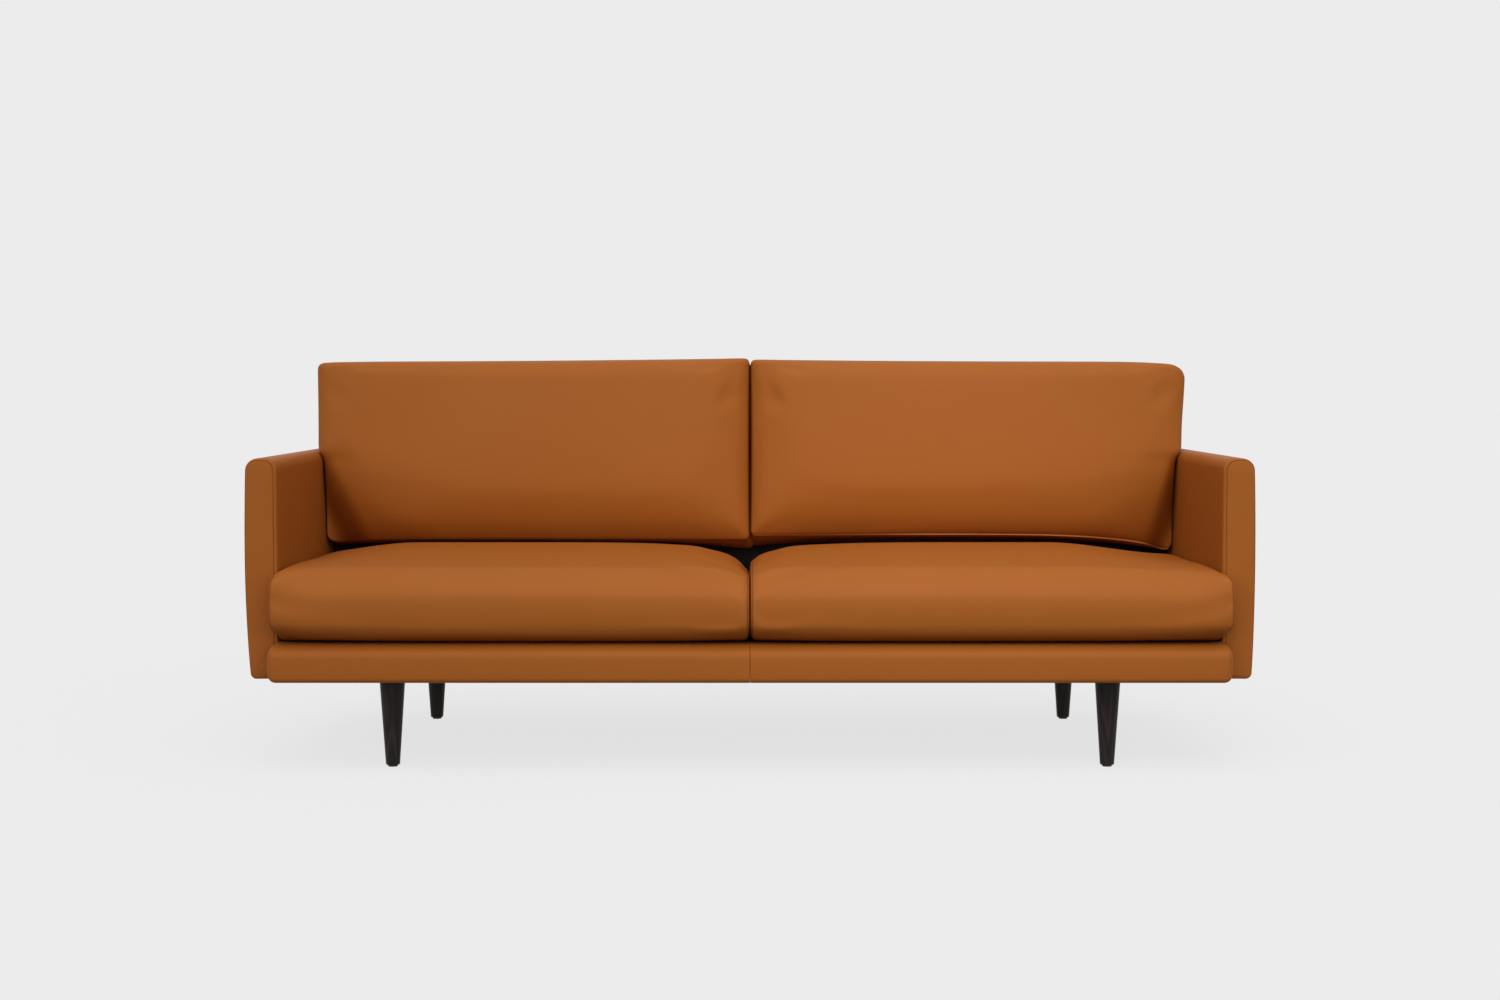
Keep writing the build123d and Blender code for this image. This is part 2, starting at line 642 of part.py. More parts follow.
for side_name, side in SIDES:
    with BuildPart() as seat_cover:
        loft([seat_section(side * (CUSHION_GAP + distance), tuck,
                           SEAT_CROWN * swell(distance / seat_width, SEAT_SWELL_POWER, SEAT_LEAST_SWELL))
              for distance, tuck in rounded_stations(seat_width, SEAT_SIDE_ROUND, SEAT_SHARES)], ruled=True)
        add(seat_core_block(side, CORE_CLEARANCE), mode=Mode.SUBTRACT)
    save(seat_cover.part, f"{side_name}_seat_cover")

    with BuildPart() as seat_core:
        add(seat_core_block(side, 0.0))
    save(seat_core.part, f"{side_name}_seat_core")

# Loose back cushions, leaning on the raked inside of the back
back_cushion_z = seat_edge_z + SEAT_CROWN / 2 - SEAT_REAR_GAP
flare_start = (arm_top_z - back_cushion_z) / (BACK_CUSHION_HEIGHT * math.cos(rake))
back_cushion_stations = rounded_stations(BACK_CUSHION_HEIGHT, BACK_CUSHION_ROUND, BACK_CUSHION_SHARES)


def lean_plane(height):
    """Plane square to the lean at a height along it, its Y running to the rear from the back's face."""
    foot_y = back_face_y(back_cushion_z)
    return Plane(origin=(0, foot_y + height * math.sin(rake), back_cushion_z + height * math.cos(rake)),
                 x_dir=(1, 0, 0), z_dir=(0, math.sin(rake), math.cos(rake)))


def back_cushion_section(side, height, tuck):
    """Outline of the back cushion at one height: flat behind, crowned in front, sides drawn in."""
    share = height / BACK_CUSHION_HEIGHT
    crown = BACK_CUSHION_CROWN * swell(share, BACK_CUSHION_SWELL_POWER, BACK_CUSHION_LEAST_SWELL)
    flare = BACK_CUSHION_FLARE * min(1.0, max(0.0, (share - flare_start) / BACK_CUSHION_FLARE_SHARE))
    inner = side * (CUSHION_GAP + tuck)
    outer = side * (arm_inner_x - CUSHION_GAP - tuck + flare)
    rear = -CUSHION_GAP - tuck
    border = tuck - BACK_CUSHION_BORDER
    pinch = side * BACK_CUSHION_DRAW_IN
    with BuildSketch(lean_plane(height)) as outline:
        with BuildLine():
            Line((inner, rear), (outer, rear))
            ThreePointArc((outer, rear), (outer - pinch, (rear + border) / 2), (outer, border))
            ThreePointArc((outer, border), ((inner + outer) / 2, border - crown), (inner, border))
            ThreePointArc((inner, border), (inner + pinch, (rear + border) / 2), (inner, rear))
        make_face()
        fillet(outline.vertices(), BACK_CUSHION_RADIUS)
    return outline.sketch


def back_core_block(side, clearance):
    """The square filling inside a back cushion, standing along the lean."""
    near = CUSHION_GAP + BACK_CUSHION_CORE_SIDE - clearance
    far = arm_inner_x - CUSHION_GAP - BACK_CUSHION_CORE_SIDE + clearance
    with BuildPart() as core:
        with BuildSketch(lean_plane(BACK_CUSHION_CORE_SIDE - clearance)):
            with Locations((side * (near + far) / 2, -BACK_CUSHION_BORDER / 2)):
                Rectangle(far - near, BACK_CUSHION_BORDER - 2 * (BACK_CUSHION_CORE_SKIN - clearance))
        extrude(amount=BACK_CUSHION_HEIGHT - 2 * (BACK_CUSHION_CORE_SIDE - clearance))
    return core.part


for side_name, side in SIDES:
    with BuildPart() as back_cushion_cover:
        loft([back_cushion_section(side, height, tuck)
              for height, tuck in back_cushion_stations], ruled=True)
        add(back_core_block(side, CORE_CLEARANCE), mode=Mode.SUBTRACT)
    save(back_cushion_cover.part, f"{side_name}_back_cushion_cover")

    with BuildPart() as back_cushion_core:
        add(back_core_block(side, 0.0))
    save(back_cushion_core.part, f"{side_name}_back_cushion_core")
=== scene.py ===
import math

import bmesh
import bpy
import numpy as np
from bpy.props import FloatProperty, FloatVectorProperty, PointerProperty
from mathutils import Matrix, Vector


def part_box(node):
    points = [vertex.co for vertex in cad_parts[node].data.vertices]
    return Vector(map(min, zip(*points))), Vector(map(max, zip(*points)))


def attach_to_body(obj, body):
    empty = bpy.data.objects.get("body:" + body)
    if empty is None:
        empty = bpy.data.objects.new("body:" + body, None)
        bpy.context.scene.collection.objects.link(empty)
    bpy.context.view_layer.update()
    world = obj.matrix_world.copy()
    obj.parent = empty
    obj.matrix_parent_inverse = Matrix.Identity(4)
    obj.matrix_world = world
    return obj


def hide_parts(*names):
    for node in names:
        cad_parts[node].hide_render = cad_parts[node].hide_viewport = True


bl_info = {
    "name": "Leather sofa",
    "version": (1, 0, 0),
    "blender": (4, 5, 0),
    "location": "View3D > Sidebar > Sofa",
    "description": "Dresses a sofa frame with leather cushions, arms, turned legs and studio light",
    "category": "Add Mesh",
}

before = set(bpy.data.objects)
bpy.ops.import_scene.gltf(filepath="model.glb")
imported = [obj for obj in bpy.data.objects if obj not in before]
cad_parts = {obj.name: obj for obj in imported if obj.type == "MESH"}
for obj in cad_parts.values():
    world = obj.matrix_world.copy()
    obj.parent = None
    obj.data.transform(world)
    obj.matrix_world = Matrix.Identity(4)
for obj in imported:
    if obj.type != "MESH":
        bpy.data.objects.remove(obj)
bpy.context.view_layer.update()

SIDES = (("left", -1), ("right", 1))
FRAME_BODY = "sofa_frame"

seat_low, seat_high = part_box("right_seat_cover")
back_pad_low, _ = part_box("right_back_cushion_cover")
arm_low, arm_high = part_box("right_arm_cover")
front_low, front_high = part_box("right_front_cover")
back_low, back_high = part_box("back_cover")
panel_low, panel_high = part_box("back_outer_cover")


# Settings that a user may change
def length(name, description, default):
    """A distance setting in metres."""
    return FloatProperty(name=name, description=description, default=default, unit="LENGTH",
                         subtype="DISTANCE", precision=4)


def number(name, description, default):
    """A plain number setting."""
    return FloatProperty(name=name, description=description, default=default)


def colour(name, description, default):
    """A colour setting."""
    return FloatVectorProperty(name=name, description=description, default=default, size=3, min=0.0,
                               max=1.0, subtype="COLOR")


class SofaSeat(bpy.types.PropertyGroup):
    """Sizes of the seat cushions."""

    edge_rise: length("Edge rise", "Height of the cushion's edge above its flat underside", 0.1406)
    peak_rise: length("Peak rise", "Height of the crown above the underside", 0.1719)
    peak_place: length("Peak place", "Depth at which the crown is highest", 0.03)
    peak_fall: length("Peak fall", "How much lower the top is at the front and the rear", 0.0213)
    end_bulge: length("End bulge", "How far the end panels stand out past their seams", 0.0030)
    front_bulge: length("Front bulge", "How far the middle of the front stands out", 0.016)
    front_lift: length("Front lift", "How far the underside rises at the front", 0.004)
    overhang: length("Overhang", "How far the front stands out past the frame's cushion", 0.016)
    end_round: length("End round", "Width of the rounding beside each end seam", 0.016)
    end_tuck: length("End tuck", "How far the cover draws in at each end seam", 0.0055)


class SofaBackCushion(bpy.types.PropertyGroup):
    """Sizes of the back cushions."""

    height: length("Height", "Length along the lean", 0.4125)
    border: length("Border", "Thickness at the lower seam of the front panel", 0.138)
    border_gain: length("Border gain", "How much thicker it is at the upper seam", 0.018)
    edge_depth: length("Edge depth", "How far the front panel rolls forward from its seam", 0.018)
    edge_width: length("Edge width", "Width of that roll at the sides", 0.030)
    top_width: length("Top width", "Width of that roll at the top", 0.012)
    crown: length("Crown", "How far the middle of the front stands out", 0.040)
    belly: number("Belly", "Share of the height at which the front is fullest", 0.37)
    top_share: number("Top share", "Share of the crown that is left at the top", 0.45)
    flare: length("Flare", "How far the outer end stands out over the arm", 0.0138)
    lean: FloatProperty(name="Lean", description="Angle to the upright", default=math.radians(8.0),
                        subtype="ANGLE", unit="ROTATION")


class SofaArm(bpy.types.PropertyGroup):
    """Sizes of the arms."""

    top_radius: length("Top radius", "Rounding along the top of the arm", 0.024)
    foot_radius: length("Foot radius", "Rounding along the outer foot of the arm", 0.012)
    hang: length("Hang", "How far the leather hangs below the frame's cover", 0.004)
    bulge: length("Bulge", "How far the outer face stands out", 0.0045)
    left_draw_in: length("Left draw in", "How far the left outer face comes in at the foot", 0.0072)
    right_draw_in: length("Right draw in", "How far the right outer face comes in at the foot", 0.0020)
    draw_in_rise: length("Draw in rise", "Height over which it comes in", 0.290)
    seam_inset: length("Seam inset", "Distance of the facing's seam from the inner edge of the arm", 0.0068)
    outer_share: number("Outer share", "Share of that distance that is left at the outer edge", 0.28)
    stitch_inset: length("Stitch inset", "Distance of the stitched row behind the facing", 0.0105)


class SofaWood(bpy.types.PropertyGroup):
    """Sizes of the turned legs."""

    foot_radius: length("Foot radius", "Radius of a leg just above its glide", 0.0145)
    foot_round: length("Foot round", "Softened edge at the foot", 0.003)


class SofaFinish(bpy.types.PropertyGroup):
    """Colours of the finishes."""

    leather: colour("Leather", "Main colour of the leather", (0.335, 0.0995, 0.0145))
    leather_deep: colour("Leather, deeper", "Colour of the deeper parts of the hide", (0.312, 0.0890, 0.0112))
    thread: colour("Thread", "Colour of the sewing thread", (0.30, 0.10, 0.025))
    leg: colour("Leg", "Colour of the stained legs", (0.026, 0.0190, 0.0180))
    leg_grain: colour("Leg grain", "Colour of the legs' darker grain", (0.013, 0.0094, 0.0090))
    pine: colour("Pine", "Colour of the frame wood", (0.62, 0.45, 0.27))
    pine_grain: colour("Pine grain", "Colour of its darker rings", (0.44, 0.27, 0.13))


class SofaStage(bpy.types.PropertyGroup):
    """Camera and light."""

    eye_distance: length("Eye distance", "Distance of the camera in front of the sofa's middle", 5.155)
    eye_height: length("Eye height", "Height of the camera above the floor", 0.8045)
    eye_tilt: FloatProperty(name="Eye tilt", description="Angle that the camera looks down",
                            default=math.radians(2.947), subtype="ANGLE", unit="ROTATION")
    lens: FloatProperty(name="Lens", description="Focal length in millimetres", default=55.94,
                        subtype="DISTANCE_CAMERA", unit="CAMERA")
    backdrop: colour("Backdrop", "Colour of the floor and the background", (0.838, 0.838, 0.838))
    sky: number("Sky", "Strength of the light from all round", 0.38)
    key: number("Key", "Strength of the main lights", 3.1)
    high_lamp: number("High lamp", "Power in watts of the lamp high up in front", 218.0)


class SofaSettings(bpy.types.PropertyGroup):
    """All settings of the sofa."""

    seat: PointerProperty(type=SofaSeat)
    back_cushion: PointerProperty(type=SofaBackCushion)
    arm: PointerProperty(type=SofaArm)
    wood: PointerProperty(type=SofaWood)
    finish: PointerProperty(type=SofaFinish)
    stage: PointerProperty(type=SofaStage)


# Surfaces
def smooth_step(first, last, values):
    """Rise from 0 at first to 1 at last: three times the share squared less twice its cube."""
    share = np.clip((values - first) / (last - first), 0.0, 1.0)
    return share * share * (3.0 - 2.0 * share)


def quarter_round(distance, width):
    """Height of a quarter circle at a distance in from its edge: 0 at the edge and 1 past its width."""
    share = 1.0 - np.clip(distance / width, 0.0, 1.0)
    return np.sqrt(1.0 - share * share)


def edge_spaced(first, last, near_steps, spacing):
    """Places from first to last: small given steps in from both ends, and even steps between them."""
    near = np.asarray(near_steps)
    start = first + near
    stop = last - near[::-1]
    count = max(2, int(round((stop[0] - start[-1]) / spacing)))
    middle = np.linspace(start[-1], stop[0], count + 1)[1:-1]
    return np.concatenate((start, middle, stop))


def rounded_outline(short_range, long_range, corner_sizes, arc_steps, spacing):
    """Outline of a rectangle with rounded corners, starting mid way along its first short side.

    A corner point is the corner's centre plus its short size times the cosine and its long size times
    the sine of an angle that turns through a quarter. Straight runs between the arcs are divided evenly.
    """
    low_short, high_short = short_range
    low_long, high_long = long_range
    corners = ((high_short, low_long, 1, -1), (high_short, high_long, 1, 1),
               (low_short, high_long, -1, 1), (low_short, low_long, -1, -1))
    arcs = []
    for quarter, (place, size) in enumerate(zip(corners, corner_sizes), start=-1):
        turn = (quarter + np.linspace(0.0, 1.0, arc_steps + 1)) * math.pi / 2
        short_centre = place[0] - place[2] * size[0]
        long_centre = place[1] - place[3] * size[1]
        arcs.append(np.column_stack((short_centre + size[0] * np.cos(turn),
                                     long_centre + size[1] * np.sin(turn))))
    parts = []
    for here, there in zip(arcs, arcs[1:] + arcs[:1]):
        gap = there[0] - here[-1]
        count = 2 * max(1, int(round(np.linalg.norm(gap) / spacing / 2)))
        parts.append(here)
        parts.append(here[-1] + gap * (np.arange(1, count + 1) / (count + 1))[:, None])
    return np.roll(np.concatenate(parts), len(parts[-1]) // 2, axis=0)


def middle_line(ring, short_axis, long_axis):
    """Nearest place to each ring point on the line that runs midway between the ring's long sides."""
    line = ring.copy()
    low = ring.min(axis=0)
    high = ring.max(axis=0)
    half = (high[short_axis] - low[short_axis]) / 2
    line[:, short_axis] = (low[short_axis] + high[short_axis]) / 2
    line[:, long_axis] = np.clip(ring[:, long_axis], low[long_axis] + half, high[long_axis] - half)
    return line


CAP_SHARES = (0.05, 0.14, 0.28, 0.45, 0.65, 0.86)
CAP_ROUND = 0.3


def end_rings(ring, way, bulge, axes):
    """Rings that close an end: each goes a share of the way to the middle line of the first ring.

    Each stands out along X by the bulge, reached along a quarter circle in the first third of the way.
    """
    share = np.asarray(CAP_SHARES)[:, None, None]
    swollen = bulge * quarter_round(share, CAP_ROUND) * np.asarray((way, 0, 0))
    return ring + share * (middle_line(ring, *axes) - ring) + swollen


def capped(body, bulges, axes):
    """The rings of a body that runs along X, with rings that close both its ends."""
    first = end_rings(body[0], -1, bulges[0], axes)
    last = end_rings(body[-1], 1, bulges[1], axes)
    return np.concatenate((first[::-1], body, last))


def skin(name, points, faces, fields):
    """One closed mesh from points and four-sided faces, with its fields kept as point attributes."""
    mesh = bpy.data.meshes.new(name)
    mesh.from_pydata(points.tolist(), [], faces.tolist())
    sewn = bmesh.new()
    sewn.from_mesh(mesh)
    bmesh.ops.recalc_face_normals(sewn, faces=sewn.faces)
    sewn.to_mesh(mesh)
    sewn.free()
    for field, values in fields.items():
        attribute = mesh.attributes.new(field, "FLOAT", "POINT")
        attribute.data.foreach_set("value", np.asarray(values, np.float32).ravel())
    mesh.shade_smooth()
    piece = bpy.data.objects.new(name, mesh)
    bpy.context.scene.collection.objects.link(piece)
    return piece


def tube_skin(name, rings, fields):
    """Skin through rings of points, each joined to the next, with both ends closed side to side.

    At an end, point i of the ring is joined to the point as far from its start the other way round.
    """
    count, around = rings.shape[:2]
    index = np.arange(count * around).reshape(count, around)
    here = index[:-1]
    there = index[1:]
    walls = np.stack((here, np.roll(here, -1, axis=1), np.roll(there, -1, axis=1), there), axis=-1)
    step = np.arange(around // 2 - 1)
    lids = [np.stack((ring[step], ring[step + 1], ring[around - 2 - step], ring[around - 1 - step]), axis=-1)
            for ring in (index[0], index[-1])]
    faces = np.concatenate((walls.reshape(-1, 4), *lids))
    return skin(name, rings.reshape(-1, 3), faces, fields)


def loop_of(grid):
    """The outer row of a grid, once round."""
    return np.concatenate((grid[0, :-1], grid[:-1, -1], grid[-1, :0:-1], grid[:0:-1, 0]))


def box_skin(name, front, border, rear, fields):
    """Skin of a boxed cushion: a front grid, rings of border round its outer row, and a rear grid.

    The first border ring joins the outer row of the front, and the last one that of the rear.
    """
    rows, columns = front.shape[:2]
    panel = rows * columns
    around = border.shape[1]
    front_index = np.arange(panel).reshape(rows, columns)
    border_index = panel + np.arange(border.shape[0] * around).reshape(border.shape[0], around)
    rear_index = front_index + panel + border.shape[0] * around
    rings = np.concatenate((loop_of(front_index)[None], border_index, loop_of(rear_index)[None]))
    here = rings[:-1]
    there = rings[1:]
    walls = np.stack((here, np.roll(here, -1, axis=1), np.roll(there, -1, axis=1), there), axis=-1)
    panels = [np.stack((grid[:-1, :-1], grid[:-1, 1:], grid[1:, 1:], grid[1:, :-1]), axis=-1).reshape(-1, 4)
              for grid in (front_index, rear_index)]
    faces = np.concatenate((panels[0], walls.reshape(-1, 4), panels[1]))
    points = np.concatenate((front.reshape(-1, 3), border.reshape(-1, 3), rear.reshape(-1, 3)))
    return skin(name, points, faces, fields)


def mirrored(rings, side):
    """The same points on the other side of the sofa's middle where side is minus one."""
    return rings * np.array((side, 1.0, 1.0))


def subdivide(piece, levels):
    """Smooth a piece with subdivision, the same in the view and in the render."""
    modifier = piece.modifiers.new("Subdivision", "SUBSURF")
    modifier.levels = levels
    modifier.render_levels = levels


def attach(piece, body, nodes, material):
    """Give a piece its finish, its body and the frame nodes that it stands for."""
    piece.data.materials.append(material)
    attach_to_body(piece, body)
    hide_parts(*nodes)


# Swelling of the cushions
SWELL_STEPS = 20
CLOTH_SETTINGS = {
    "quality": 5,
    "mass": 0.3,
    "tension_stiffness": 15.0,
    "compression_stiffness": 15.0,
    "shear_stiffness": 8.0,
    "bending_stiffness": 8.0,
    "vertex_group_mass": "held",
    "use_pressure": True,
    "uniform_pressure_force": 2.6,
}


def point_values(mesh, field):
    """The values of a point attribute."""
    values = np.zeros(len(mesh.vertices), np.float32)
    mesh.attributes[field].data.foreach_get("value", values)
    return values


def point_places(mesh):
    """The places of a mesh's points, one row each."""
    places = np.zeros(len(mesh.vertices) * 3, np.float32)
    mesh.vertices.foreach_get("co", places)
    return places.reshape(-1, 3)


def swell(piece, cap):
    """Blow a cushion up with Blender's cloth: pressure inside, no gravity, its held points kept.

    A point moves as the cloth does, but no further than the cap, and less where the cover is taut.
    """
    mesh = piece.data
    start = point_places(mesh)
    trial = bpy.data.objects.new(piece.name + "_trial", mesh.copy())
    scene = bpy.context.scene
    scene.collection.objects.link(trial)
    pins = trial.vertex_groups.new(name="held")
    pins.add(np.flatnonzero(point_values(mesh, "held") > 0.5).tolist(), 1.0, "REPLACE")
    cloth = trial.modifiers.new("Leather", "CLOTH")
    for name, value in CLOTH_SETTINGS.items():
        setattr(cloth.settings, name, value)
    cloth.settings.effector_weights.gravity = 0.0
    cloth.collision_settings.use_collision = False
    cloth.point_cache.frame_start = 1
    cloth.point_cache.frame_end = SWELL_STEPS
    for step in range(1, SWELL_STEPS + 1):
        scene.frame_set(step)
    swollen = trial.evaluated_get(bpy.context.evaluated_depsgraph_get())
    shift = point_places(swollen.data) - start
    far = np.linalg.norm(shift, axis=1, keepdims=True)
    loose = 1.0 - point_values(mesh, "taut")[:, None]
    shift *= np.minimum(1.0, cap / np.maximum(far, 1e-9)) * loose
    mesh.vertices.foreach_set("co", (start + shift).ravel())
    mesh.update()
    spare = trial.data
    bpy.data.objects.remove(trial)
    bpy.data.meshes.remove(spare)
    scene.frame_set(1)


# Finishes
def new_node(tree, kind, settings=None, inputs=None):
    """A node with its settings and the values of its inputs."""
    node = tree.nodes.new(kind)
    for name, value in (settings or {}).items():
        setattr(node, name, value)
    for name, value in (inputs or {}).items():
        node.inputs[name].default_value = value
    return node


def new_group(name, inputs, outputs):
    """An empty shader node group with named sockets, and its two end nodes."""
    group = bpy.data.node_groups.new(name, "ShaderNodeTree")
    for socket, kind in inputs:
        group.interface.new_socket(name=socket, in_out="INPUT", socket_type=kind)
    for socket, kind in outputs:
        group.interface.new_socket(name=socket, in_out="OUTPUT", socket_type=kind)
    return group, group.nodes.new("NodeGroupInput"), group.nodes.new("NodeGroupOutput")


def math_node(tree, operation, *values, clamp=False):
    """A math node fed by sockets or plain values."""
    node = tree.nodes.new("ShaderNodeMath")
    node.operation = operation
    node.use_clamp = clamp
    for socket, value in zip(node.inputs, values):
        if isinstance(value, bpy.types.NodeSocket):
            tree.links.new(value, socket)
        else:
            socket.default_value = value
    return node.outputs[0]


# Places of the factor and the two colours, and of the mixed colour, among a mix node's sockets
MIX_INPUTS = (0, 6, 7)
MIX_OUTPUT = 2


def mix_colours(tree, factor, first, second):
    """A colour mixed from two, each a socket or a plain colour."""
    node = new_node(tree, "ShaderNodeMix", {"data_type": "RGBA"})
    for place, value in zip(MIX_INPUTS, (factor, first, second)):
        socket = node.inputs[place]
        if isinstance(value, bpy.types.NodeSocket):
            tree.links.new(value, socket)
        else:
            socket.default_value = value if isinstance(value, float) else (*value, 1.0)
    return node.outputs[MIX_OUTPUT]


def spread_values(tree, value, low, high):
    """A value from 0 to 1 spread between two others."""
    node = new_node(tree, "ShaderNodeMapRange", None, {"To Min": low, "To Max": high})
    tree.links.new(value, node.inputs["Value"])
    return node.outputs["Result"]


CLOUD_SHARE = 0.7
PORE_SHARE = 0.6
PORE_STEEPNESS = 6.0
THREAD_HALF_WIDTH = 0.0006
FURROW_HALF_WIDTH = 0.0022
STITCH_LENGTH = 0.0045
STITCH_SHARE = 0.74


def hide_grain_group():
    """Pores, creases and cloudy tone of leather."""
    group, start, end = new_group("hide_grain", [("Vector", "NodeSocketVector")],
                                  [("Tone", "NodeSocketFloat"), ("Height", "NodeSocketFloat"),
                                   ("Gloss", "NodeSocketFloat")])
    links = group.links
    cloud = new_node(group, "ShaderNodeTexNoise", None, {"Scale": 5.0, "Detail": 3.0, "Roughness": 0.55})
    fleck = new_node(group, "ShaderNodeTexNoise", None, {"Scale": 90.0, "Detail": 4.0, "Roughness": 0.6})
    pores = new_node(group, "ShaderNodeTexVoronoi", {"feature": "DISTANCE_TO_EDGE"}, {"Scale": 620.0})
    crease = new_node(group, "ShaderNodeTexVoronoi", {"feature": "SMOOTH_F1"},
                      {"Scale": 240.0, "Smoothness": 0.6})
    for node in (cloud, fleck, pores, crease):
        links.new(start.outputs["Vector"], node.inputs["Vector"])
    cloudy = math_node(group, "MULTIPLY", cloud.outputs[0], CLOUD_SHARE)
    flecked = math_node(group, "MULTIPLY", fleck.outputs[0], 1.0 - CLOUD_SHARE)
    links.new(math_node(group, "ADD", cloudy, flecked, clamp=True), end.inputs["Tone"])
    steep = math_node(group, "MULTIPLY", pores.outputs["Distance"], PORE_STEEPNESS)
    porous = math_node(group, "MULTIPLY", math_node(group, "MINIMUM", steep, 1.0), PORE_SHARE)
    creased = math_node(group, "MULTIPLY", crease.outputs["Distance"], 1.0 - PORE_SHARE)
    links.new(math_node(group, "ADD", porous, creased), end.inputs["Height"])
    links.new(fleck.outputs[0], end.inputs["Gloss"])
    return group


def thread_row_group():
    """Mask of a row of stitches that lies at an offset across from a seam."""
    group, start, end = new_group("thread_row", [("Along", "NodeSocketFloat"), ("Across", "NodeSocketFloat"),
                                                 ("Offset", "NodeSocketFloat")],
                                  [("Thread", "NodeSocketFloat"), ("Furrow", "NodeSocketFloat")])
    links = group.links
    aside = math_node(group, "SUBTRACT", start.outputs["Across"], start.outputs["Offset"])
    aside = math_node(group, "ABSOLUTE", aside)
    near = math_node(group, "LESS_THAN", aside, THREAD_HALF_WIDTH)
    beat = math_node(group, "FRACT", math_node(group, "DIVIDE", start.outputs["Along"], STITCH_LENGTH))
    dash = math_node(group, "LESS_THAN", beat, STITCH_SHARE)
    links.new(math_node(group, "MULTIPLY", near, dash), end.inputs["Thread"])
    away = math_node(group, "DIVIDE", aside, FURROW_HALF_WIDTH)
    links.new(math_node(group, "SUBTRACT", 1.0, away, clamp=True), end.inputs["Furrow"])
    return group


def wood_grain_group():
    """Long rings and fine pores of wood that runs along Z."""
    group, start, end = new_group("wood_grain",
                                  [("Vector", "NodeSocketVector"), ("Rings", "NodeSocketFloat")],
                                  [("Grain", "NodeSocketFloat"), ("Pores", "NodeSocketFloat")])
    links = group.links
    drawn = new_node(group, "ShaderNodeMapping", None, {"Scale": (1.0, 1.0, 0.06)})
    links.new(start.outputs["Vector"], drawn.inputs["Vector"])
    sway = new_node(group, "ShaderNodeTexNoise", None, {"Scale": 9.0, "Detail": 3.0})
    links.new(drawn.outputs[0], sway.inputs["Vector"])
    rings = math_node(group, "MULTIPLY", sway.outputs[0], start.outputs["Rings"])
    wave = math_node(group, "SINE", math_node(group, "MULTIPLY", rings, 2.0 * math.pi))
    links.new(math_node(group, "MULTIPLY_ADD", wave, 0.5, 0.5), end.inputs["Grain"])
    pores = new_node(group, "ShaderNodeTexNoise", None, {"Scale": 700.0, "Detail": 2.0})
    links.new(drawn.outputs[0], pores.inputs["Vector"])
    links.new(pores.outputs[0], end.inputs["Pores"])
    return group


def weave_group():
    """Over and under of a plain weave, with uneven threads."""
    group, start, end = new_group("weave", [("Vector", "NodeSocketVector"), ("Threads", "NodeSocketFloat")],
                                  [("Height", "NodeSocketFloat"), ("Shade", "NodeSocketFloat")])
    links = group.links
    threads = start.outputs["Threads"]
    parts = new_node(group, "ShaderNodeSeparateXYZ")
    links.new(start.outputs["Vector"], parts.inputs[0])
    across = math_node(group, "SINE", math_node(group, "MULTIPLY", parts.outputs["X"], threads))
    depth = math_node(group, "ADD", parts.outputs["Y"], parts.outputs["Z"])
    along = math_node(group, "SINE", math_node(group, "MULTIPLY", depth, threads))
    height = math_node(group, "MULTIPLY_ADD", math_node(group, "MULTIPLY", across, along), 0.5, 0.5)
    links.new(height, end.inputs["Height"])
    slub = new_node(group, "ShaderNodeTexNoise", None, {"Scale": 160.0, "Detail": 3.0})
    links.new(start.outputs["Vector"], slub.inputs["Vector"])
    links.new(math_node(group, "MULTIPLY", height, slub.outputs[0]), end.inputs["Shade"])
    return group


GROUP_MAKERS = {
    "hide_grain": hide_grain_group,
    "thread_row": thread_row_group,
    "wood_grain": wood_grain_group,
    "weave": weave_group,
}


def group_node(tree, name, inputs=None):
    """The named node group, placed in a material."""
    node = tree.nodes.new("ShaderNodeGroup")
    node.node_tree = bpy.data.node_groups.get(name) or GROUP_MAKERS[name]()
    for socket, value in (inputs or {}).items():
        node.inputs[socket].default_value = value
    return node


METAL_SPECULAR = 0.5
SOFT_SPECULAR = 0.12


def new_material(name, roughness, metallic=0.0):
    """A material with only its shader, and the coordinates that its patterns read."""
    material = bpy.data.materials.new(name)
    material.use_nodes = True
    tree = material.node_tree
    shader = tree.nodes["Principled BSDF"]
    shader.inputs["Roughness"].default_value = roughness
    shader.inputs["Metallic"].default_value = metallic
    shader.inputs["Specular IOR Level"].default_value = METAL_SPECULAR if metallic else SOFT_SPECULAR
    place = tree.nodes.new("ShaderNodeTexCoord").outputs["Object"]
    return material, tree, shader, place


def bump(tree, shader, height, strength, distance):
    """Let a height shape the shader's normal."""
    node = new_node(tree, "ShaderNodeBump", None, {"Strength": strength, "Distance": distance})
    tree.links.new(height, node.inputs["Height"])
    tree.links.new(node.outputs[0], shader.inputs["Normal"])


LEATHER_ROUGHNESS = (0.46, 0.60)
# Dark seams; on a back cushion the same mask also paints shade into the rows just above the welt
SEAM_STRENGTH = 0.75
SEAM_COLOUR = (0.075, 0.018, 0.002)
# Near-black colour of a strip low inside the back, painted as the shade of the deep hole below the cushions
LINING_PAINTED_SHADE_COLOUR = (0.009, 0.007, 0.006)
# Lighter colour painted along the welt of a back cushion's lower seam: a painted highlight
PAINTED_WELT_HIGHLIGHT_COLOUR = (0.56, 0.20, 0.05)
FURROW_DEPTH = 1.2


def field_value(tree, name):
    """The value of a piece's point attribute, which is 0 where the piece has none."""
    return new_node(tree, "ShaderNodeAttribute", {"attribute_name": name}).outputs["Fac"]


